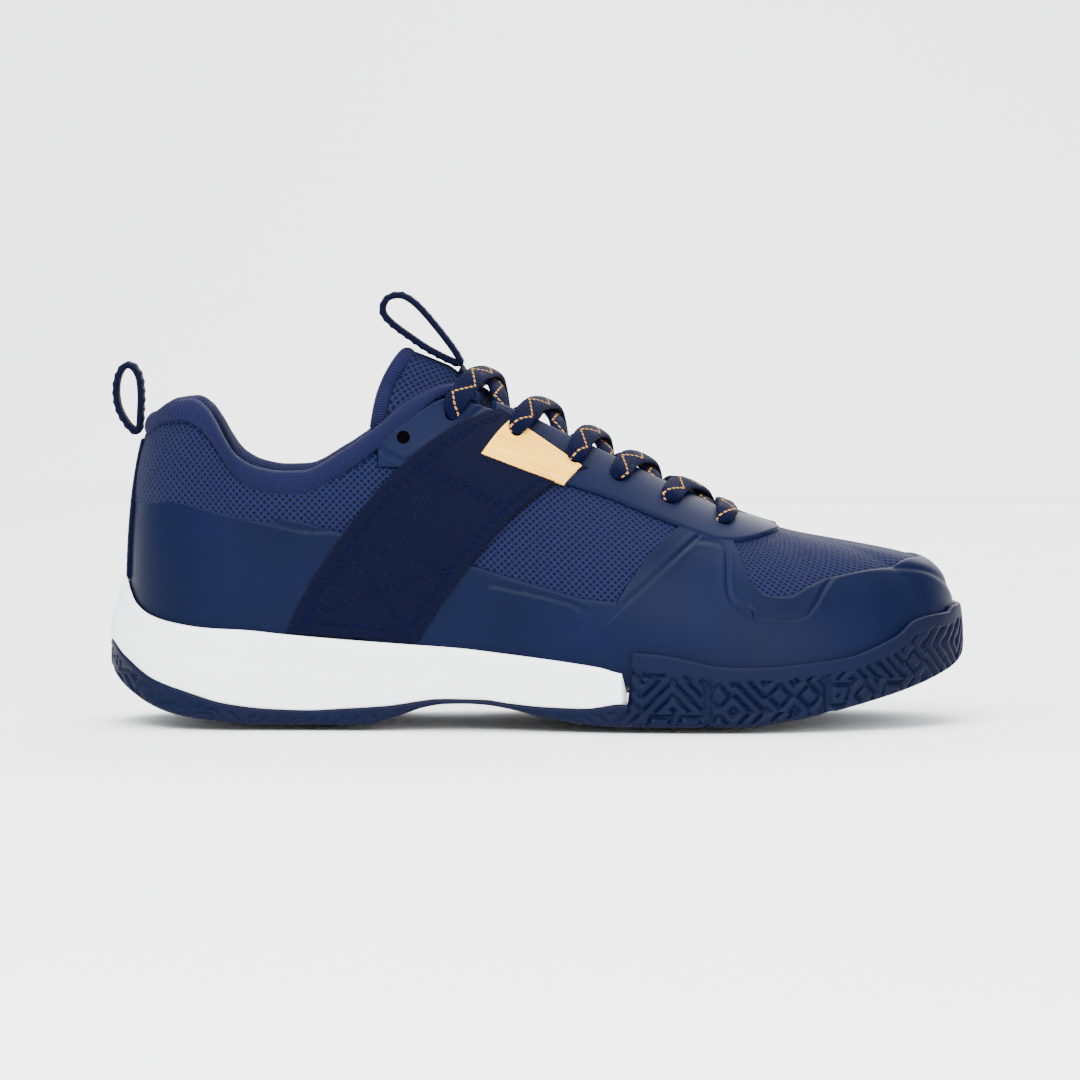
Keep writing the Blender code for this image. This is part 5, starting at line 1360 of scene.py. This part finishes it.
class COURTSHOE_OT_lace(CourtShoeOperator):
    """Flat lace through the eyelets: an oval section carried along its route, narrower where gathered"""

    bl_idname = "court_shoe.lace"
    bl_label = "Lace"

    def execute(self, context):
        look, sizes = look_of(context), sizes_of(context)
        width, thick = sizes.lace_width / MM, sizes.lace_thickness / MM
        route = smooth_path(lace_route(), 9)
        path, wide, up = route[:, :3], route[:, 3], unit(route[:, 4:])
        tangent = unit(np.gradient(path, axis=0))
        up = up - tangent * (up * tangent).sum(-1, keepdims=True)
        weak = np.linalg.norm(up, axis=-1, keepdims=True)
        up = np.where(weak > 0.25, up, np.nan)
        good = ~np.isnan(up[:, 0])
        index = np.arange(len(up))
        up = unit(np.stack([np.interp(index, index[good], up[good, k]) for k in range(3)], axis=-1))
        across = unit(np.cross(tangent, up))
        blur = np.ones(9) / 9
        padded = np.pad(across, ((4, 4), (0, 0)), mode="edge")
        across = unit(np.stack([np.convolve(padded[:, k], blur, "valid") for k in range(3)], axis=-1))
        up = unit(np.cross(across, tangent))
        half_thick = thick / 2 * (1.25 - 0.25 * wide)
        band = swept(path, across, up, width / 2 * wide, half_thick, sides=16, power=2.4)
        obj = build("lace_weave_cord", band, lace_material(look, width), "shoe")
        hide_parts("lace")
        tip = plain_material("aglet", darker(look.lace, 0.8), 0.25)
        for _, word in SIDES:
            paint(f"aglet_{word}", tip)
        return {"FINISHED"}


def maze(u, v, cell):
    """Relief of the tread from 0 in its grooves to 1 on its blocks. Each square cell holds slanted bars, a
    diamond ring or a hook, chosen by a hash of its place."""
    i, j = np.floor(u / cell), np.floor(v / cell)
    p, q = (u / cell - i) * 2 - 1, (v / cell - j) * 2 - 1
    pick = np.mod(np.abs(np.sin(i * 12.99 + j * 78.23) * 4375.85), 1)
    slanted = 1 - np.abs(np.mod((p + q) * 1.1, 1.0) - 0.5) * 2
    counter = 1 - np.abs(np.mod((p - q) * 1.1, 1.0) - 0.5) * 2
    ring = 1 - np.abs(np.mod((np.abs(p) + np.abs(q)) * 1.05 + 0.2, 1.0) - 0.5) * 2
    hook = 1 - np.abs(np.mod(np.maximum(np.abs(p + 0.35 * q), np.abs(q)) * 1.5, 1.0) - 0.5) * 2
    choice = np.select([pick < 0.32, pick < 0.62, pick < 0.84], [slanted, counter, ring], hook)
    return 1 / (1 + np.exp(-(choice - 0.34) * 14))


def plan_normal(ring):
    """Direction square to the outline, seen from above, pointing out."""
    along = plan(ring + 2e-3)[0] - plan(ring - 2e-3)[0]
    square = unit(np.stack([along[..., 1], -along[..., 0]], axis=-1))
    base, _ = plan(ring)
    centre = np.stack([np.clip(base[..., 0], HEEL_X, BALL_X), np.zeros(base.shape[:-1])], axis=-1)
    return square * np.sign((square * (base - centre)).sum(-1, keepdims=True))


def rim(ring, out, height):
    """Point level with a height and this far out from the upper's side, or from its outline under the bed."""
    ring, out, height = np.broadcast_arrays(*(np.asarray(value, float) for value in (ring, out, height)))
    low = curve(BED, share(plan(ring)[0][..., 0]))
    spot = bare(ring, turn_at_height(ring, np.maximum(height, low + 1e-3)))[..., :2]
    spot = spot + plan_normal(ring) * out[..., None]
    return np.concatenate([spot, height[..., None]], axis=-1)


def sole_sizes(ring):
    """Flare, height of the rubber's edge, how far the white wall has gone, and inner place of the rubber."""
    at = share(plan(ring)[0][..., 0])
    flare = curve(FLARE, at)
    outer = share(rim(ring, flare, 0)[..., 0])
    wrap = np.clip((at - WRAP_START - 0.5 * WRAP_STEP) / (0.8 * WRAP_STEP), 0, 1)
    gone = np.clip((at - WRAP_START + 0.4 * WRAP_STEP) / (0.7 * WRAP_STEP), 0, 1)
    top = curve(RUBBER_TOP, outer) * (1 - wrap) + curve(WRAP_TOP, outer) * wrap
    wall_out = (flare - RUBBER_WALL) * (1 - wrap) + CUP_OUT * wrap
    return flare, top, gone, wall_out


def around_sole(count):
    """Ring coordinates once round the sole at even steps of its outline, closer where the white wall ends."""
    ring = even_rings(-3.0, 3.0, count)
    step = lap(WRAP_START + WRAP_STEP * np.linspace(-0.6, 1.5, 12))
    return np.unique(np.concatenate([ring, -step, step]))


def ground(x):
    """Height of the rubber's underside at x."""
    return curve(BOTTOM, share(x))


def above_rubber(x):
    """Height of the rubber's upper face at x."""
    return ground(x) + curve(RUBBER_THICK, share(x))


def inward(ring, point, part):
    """The spot a share of the way from the ridge to a point, seen from above."""
    _, ridge = plan(ring)
    return ridge + (point[..., :2] - ridge) * part


def ring_patch(rows):
    """One patch from profile rows, closed round the sole by its first column."""
    grid = np.stack(rows, axis=1)
    grid = np.concatenate([grid, grid[:1]])
    return grid, place_on_grid(grid)


class COURTSHOE_OT_outsole(CourtShoeOperator):
    """Cupped rubber outsole: one profile carried round the foot, with its maze tread pressed in"""

    bl_idname = "court_shoe.outsole"
    bl_label = "Outsole"

    def execute(self, context):
        look, sizes = look_of(context), sizes_of(context)
        cell, depth = sizes.tread_cell / MM, sizes.tread_depth / MM
        ring = around_sole(900)[:-1]
        flare, top, _, wall_out = sole_sizes(ring)
        base, foot = rim(ring, 0, 0), rim(ring, flare, 0)
        run = lengths(foot)
        at = share(foot[:, 0])
        _, ridge = plan(ring)
        rows = [np.column_stack([ridge, above_rubber(ridge[:, 0])])]
        for part in INNER_PARTS:
            spot = inward(ring, base, part)
            rows.append(np.column_stack([spot, above_rubber(spot[:, 0])]))
        floor = above_rubber(rim(ring, wall_out - 1.3, 0)[:, 0])
        rows.append(np.column_stack([rim(ring, wall_out, 0)[:, :2], floor]))
        for part in (0.35, 0.68, 1.0):
            rows.append(rim(ring, wall_out, floor + np.maximum(top - 0.3 - floor, 0.05) * part))
        rows.append(rim(ring, wall_out + 0.5, top))
        rows.append(rim(ring, flare - 0.6, top))
        rows.append(rim(ring, flare - 0.15, top - 0.25))
        low_edge = ground(rim(ring, flare - 1.6, 0)[:, 0])
        tall = top - 0.7 - low_edge - 1.4
        forward = np.clip((at - WRAP_START) / 0.02, 0, 1)
        flex = sum(bell(foot[:, 0] - float(place(part)), 1.4) for part in FLEX_GROOVES)
        for part in np.linspace(0, 1, 34):
            height = top - 0.7 - np.maximum(tall, 0.3) * part
            below = top - height
            on_wrap = np.clip((below - 4.2 - 2.0 * np.clip((0.75 - at) / 0.15, 0, 1)) / 0.8, 0, 1)
            on_edge = np.clip((below - 2.0) / 0.8, 0, 1) * 0.5
            pressed = (1 - maze(run + 3.0, height + 5.0, cell)) * depth
            pressed = pressed * (on_wrap * forward + on_edge * (1 - forward))
            pressed = np.maximum(pressed, flex * FLEX_GROOVE_DEPTH * np.clip((below - 5) / 2, 0, 1))
            rows.append(rim(ring, flare - pressed, height))
        rows.append(rim(ring, flare - 0.45, low_edge + np.minimum(0.75, np.maximum(tall, 0.6) * 0.4)))
        for part in np.concatenate([np.linspace(0.965, 0.08, 44), [0.0]]):
            spot = inward(ring, foot, part)
            groove = np.zeros(len(ring))
            if part > 0.1:
                window = np.abs(spot[:, 0] - float(place(WINDOW_MIDDLE))) < WINDOW_HALF_LENGTH
                window = window & (np.abs(spot[:, 1]) < WINDOW_HALF_WIDTH)
                blocks = 1 - maze(spot[:, 0] + 400, spot[:, 1] + 400, cell)
                flat = (share(spot[:, 0]) < 0.33) | (share(spot[:, 0]) > 0.49)
                groove = blocks * depth * flat * np.clip((0.965 - part) / 0.03, 0, 1)
                cross = sum(bell(spot[:, 0] - float(place(where)), 1.5) for where in FLEX_GROOVES)
                groove = np.maximum(np.maximum(groove, cross * FLEX_GROOVE_DEPTH), window * 1.3)
            rows.append(np.column_stack([spot, ground(spot[:, 0]) + groove]))
        obj = build("outsole_rubber", [ring_patch(rows)], rubber_material(look), "shoe", smooth_angle=50.0)
        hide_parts("outsole")
        return {"FINISHED"}


class COURTSHOE_OT_midsole(CourtShoeOperator):
    """White foam midsole: its side profile carried round the foot, with a soft lip and a shallow channel"""

    bl_idname = "court_shoe.midsole"
    bl_label = "Midsole"

    def execute(self, context):
        look = look_of(context)
        ring = around_sole(620)[:-1]
        flare, top, gone, wall_out = sole_sizes(ring)
        at = share(plan(ring)[0][:, 0])
        lip, bed = curve(LIP, at), curve(BED, at) - BED_DROP
        under = above_rubber(rim(ring, 0.5, 0)[:, 0]) + SOLE_GAP
        lip_out, zero = CUP_OUT + 2.2, 0 * flare
        profile = [(CUP_OUT + zero, bed * 0.45 + lip * 0.55), (CUP_OUT + 0.1 + zero, lip - 0.3),
                   (CUP_OUT + 1.0 + zero, lip + 0.35), (CUP_OUT + 2.1 + zero, lip - 0.8),
                   (flare * 0.4 + lip_out * 0.6, lip * 0.62 + top * 0.38),
                   (flare * 0.9 + lip_out * 0.1, lip * 0.38 + top * 0.62),
                   (flare + 0.1, lip * 0.18 + top * 0.82), (flare - 0.35, top + 0.35),
                   (wall_out - 0.4, top + 0.4)]
        side = np.array([np.stack(pair, axis=-1).ravel() for pair in profile])
        side = smooth_path(side, 5).reshape(-1, len(ring), 2)
        drop = np.linspace(0, 0.4, len(side))
        more = np.minimum(0.2 + np.linspace(0, 1.2, len(side)), 1.0)
        _, ridge = plan(ring)
        base = rim(ring, 0, 0)
        rows = [np.column_stack([ridge, curve(BED, share(ridge[:, 0])) - BED_DROP])]
        for part in INNER_PARTS:
            spot = inward(ring, base, part)
            rows.append(np.column_stack([spot, curve(BED, share(spot[:, 0])) - BED_DROP]))
        for pair, more_out, fall in zip(side, more, drop):
            level = pair[:, 1] * (1 - gone) + (bed - (bed - under) * fall) * gone
            rows.append(rim(ring, pair[:, 0] * (1 - gone) + more_out * gone, level))
        foot = rim(ring, (wall_out - 1.0) * (1 - gone) + 0.5 * gone, 0)
        rows.append(np.column_stack([foot[:, :2], above_rubber(foot[:, 0]) + SOLE_GAP]))
        for part in INNER_PARTS[::-1]:
            spot = inward(ring, base, part)
            rows.append(np.column_stack([spot, above_rubber(spot[:, 0]) + SOLE_GAP]))
        rows.append(np.column_stack([ridge, above_rubber(ridge[:, 0]) + SOLE_GAP]))
        obj = build("midsole_foam", [ring_patch(rows)], foam_material(look), "shoe", smooth_angle=60.0)
        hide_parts("midsole")
        return {"FINISHED"}


class COURTSHOE_OT_inside(CourtShoeOperator):
    """Linings, insole and the hidden pieces"""

    bl_idname = "court_shoe.inside"
    bl_label = "Inside"

    def execute(self, context):
        look = look_of(context)
        cloth = ribbed_material("lining_cloth", look.lining, 0.8, 0.4, 0.9, depth=0.1)
        join = float(lap(LINING_JOIN))
        ring = even_rings(-join, join, 160)
        grid = spread(ring, ring, 0 * ring, edge_turn(ring) - 0.03, np.linspace(0, 1, 50))
        obj = skin("heel_lining_cloth", *grid, -7.0, 0.4, cloth, deep=0.6)
        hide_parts("collar_lining")
        for side, word in SIDES:
            ring = side * even_rings(join - 0.02, 2.0, 90)
            grid = spread(ring, ring, 0 * ring, facing_turn(ring, EYELET_MARGIN), np.linspace(0, 1, 40))
            obj = skin(f"lining_cloth_{word}", *grid, -3.4, 0.4, cloth, deep=0.6)
            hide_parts(f"quarter_lining_{word}")
        laps = even_rings(0.12, 2.85, 150)
        at = share(plan(laps)[0][:, 0])
        ends = [rim(side * laps, curve(INSOLE_OUT, at), 0) for side, _ in SIDES]
        across = np.concatenate([[0, 0.01, 0.03], np.linspace(0.06, 0.94, 40), [0.97, 0.99, 1]])
        grid = ends[0][:, None] * (1 - across[:, None]) + ends[1][:, None] * across[:, None]
        dish = 0.9 * np.abs(across * 2 - 1) ** 3 - 0.9
        edge = 0.8 * (dome(np.minimum(across, 1 - across), 0.03) - 1)
        upper, under = grid.copy(), grid.copy()
        upper[..., 2] = curve(BED, at)[:, None] + 4.0 + dish + edge
        under[..., 2] = curve(BED, at)[:, None] + 0.1
        top_cloth = ribbed_material("insole_cloth", look.lining, 1.0, 1.0, 1.0, depth=0.12)
        obj = build("insole_cushion", slab(upper, under), top_cloth, "insole")
        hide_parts("sockliner")
        grey = plain_material("moulded_grey", (0.08, 0.08, 0.09), 0.5)
        for name in ("shank_plate", "strobel_board", "heel_counter"):
            paint(name, grey)
        return {"FINISHED"}


# The stage, in metres: the paper's side profile, and each lamp's name, place, size and power
PAPER = [(-1.6, 0.0), (0.9, 0.0), (1.25, 0.03), (1.5, 0.16), (1.62, 0.4), (1.66, 0.8), (1.68, 2.2)]
PAPER_HALF_WIDTH = 3.0
LAMPS = (("key", (-0.5, -1.1, 1.3), 1.1, 56), ("front", (0.7, -1.4, 0.6), 1.2, 28),
         ("top", (0.1, 0.2, 1.7), 1.4, 46), ("back", (0.3, 1.2, 1.0), 1.0, 18))
LAMP_TARGET = Vector((-0.0005, -0.02, 0.063))
CAMERA_AIM = Vector((0.0007, -0.045, 0.0636))
CAMERA_TILT = math.radians(3.4)
VIEW_WIDTH = 0.367  # what the camera takes in at the shoe


def facing_target(obj, target):
    """Turns a lamp or camera towards a target."""
    obj.rotation_euler = (target - obj.location).to_track_quat("-Z", "Y").to_euler()


class COURTSHOE_OT_stage(CourtShoeOperator):
    """Pale sweep, soft lights and the camera"""

    bl_idname = "court_shoe.stage"
    bl_label = "Stage"

    def execute(self, context):
        scene = context.scene
        line = smooth_path(PAPER, 10)
        ends = (-PAPER_HALF_WIDTH, PAPER_HALF_WIDTH)
        edges = [np.column_stack([np.full(len(line), x), line]) for x in ends]
        low = np.arange(len(line) - 1)
        quads = np.column_stack([low, low + len(line), low + len(line) + 1, low + 1])
        mesh = bpy.data.meshes.new("sweep")
        mesh.from_pydata(np.concatenate(edges).tolist(), [], quads.tolist())
        mesh.polygons.foreach_set("use_smooth", [True] * len(mesh.polygons))
        paper = bpy.data.materials.new("sweep_paper")
        paper.use_nodes = True
        shader = paper.node_tree.nodes["Principled BSDF"]
        shader.inputs["Base Color"].default_value = (0.93, 0.93, 0.93, 1)
        shader.inputs["Roughness"].default_value = 0.9
        mesh.materials.append(paper)
        sweep = bpy.data.objects.new("sweep", mesh)
        scene.collection.objects.link(sweep)
        world = bpy.data.worlds.new("studio")
        world.use_nodes = True
        world.node_tree.nodes["Background"].inputs["Color"].default_value = (0.93, 0.96, 1.0, 1)
        world.node_tree.nodes["Background"].inputs["Strength"].default_value = 1.15
        scene.world = world
        for name, stand, size, power in LAMPS:
            lamp = bpy.data.lights.new(name, "AREA")
            lamp.size, lamp.energy = size, power
            obj = bpy.data.objects.new(name, lamp)
            obj.location = stand
            facing_target(obj, LAMP_TARGET)
            scene.collection.objects.link(obj)
        camera = bpy.data.cameras.new("camera")
        camera.lens, camera.sensor_width = 200.0, 36.0
        obj = bpy.data.objects.new("camera", camera)
        away = VIEW_WIDTH * camera.lens / camera.sensor_width
        obj.location = CAMERA_AIM + away * Vector((0, -math.cos(CAMERA_TILT), math.sin(CAMERA_TILT)))
        facing_target(obj, CAMERA_AIM)
        scene.collection.objects.link(obj)
        scene.camera = obj
        return {"FINISHED"}


class COURTSHOE_PT_panel(bpy.types.Panel):
    """Lists the shoe's settings and the operators that build it"""

    bl_label = "Court Shoe"
    bl_idname = "COURTSHOE_PT_panel"
    bl_space_type = "VIEW_3D"
    bl_region_type = "UI"
    bl_category = "Court Shoe"

    def draw(self, context):
        for owner in (context.scene.shoe_colours, context.scene.shoe_sizes):
            box = self.layout.box()
            for key in owner.__annotations__:
                box.prop(owner, key)
        for operator in OPERATORS:
            self.layout.operator(operator.bl_idname)


OPERATORS = (COURTSHOE_OT_stage, COURTSHOE_OT_outsole, COURTSHOE_OT_midsole, COURTSHOE_OT_inside,
             COURTSHOE_OT_mesh, COURTSHOE_OT_skins, COURTSHOE_OT_facing, COURTSHOE_OT_strap,
             COURTSHOE_OT_collar, COURTSHOE_OT_tongue, COURTSHOE_OT_loops, COURTSHOE_OT_lace)
CLASSES = (ShoeColours, ShoeSizes, *OPERATORS, COURTSHOE_PT_panel)


def register():
    """Adds the classes and the settings to Blender."""
    for each in CLASSES:
        bpy.utils.register_class(each)
    bpy.types.Scene.shoe_colours = bpy.props.PointerProperty(type=ShoeColours)
    bpy.types.Scene.shoe_sizes = bpy.props.PointerProperty(type=ShoeSizes)


def unregister():
    """Takes the classes and the settings out again."""
    del bpy.types.Scene.shoe_colours
    del bpy.types.Scene.shoe_sizes
    for each in reversed(CLASSES):
        bpy.utils.unregister_class(each)


def main():
    register()
    for operator in OPERATORS:
        getattr(bpy.ops.court_shoe, operator.bl_idname.split(".")[1])()


if __name__ == "__main__":
    main()
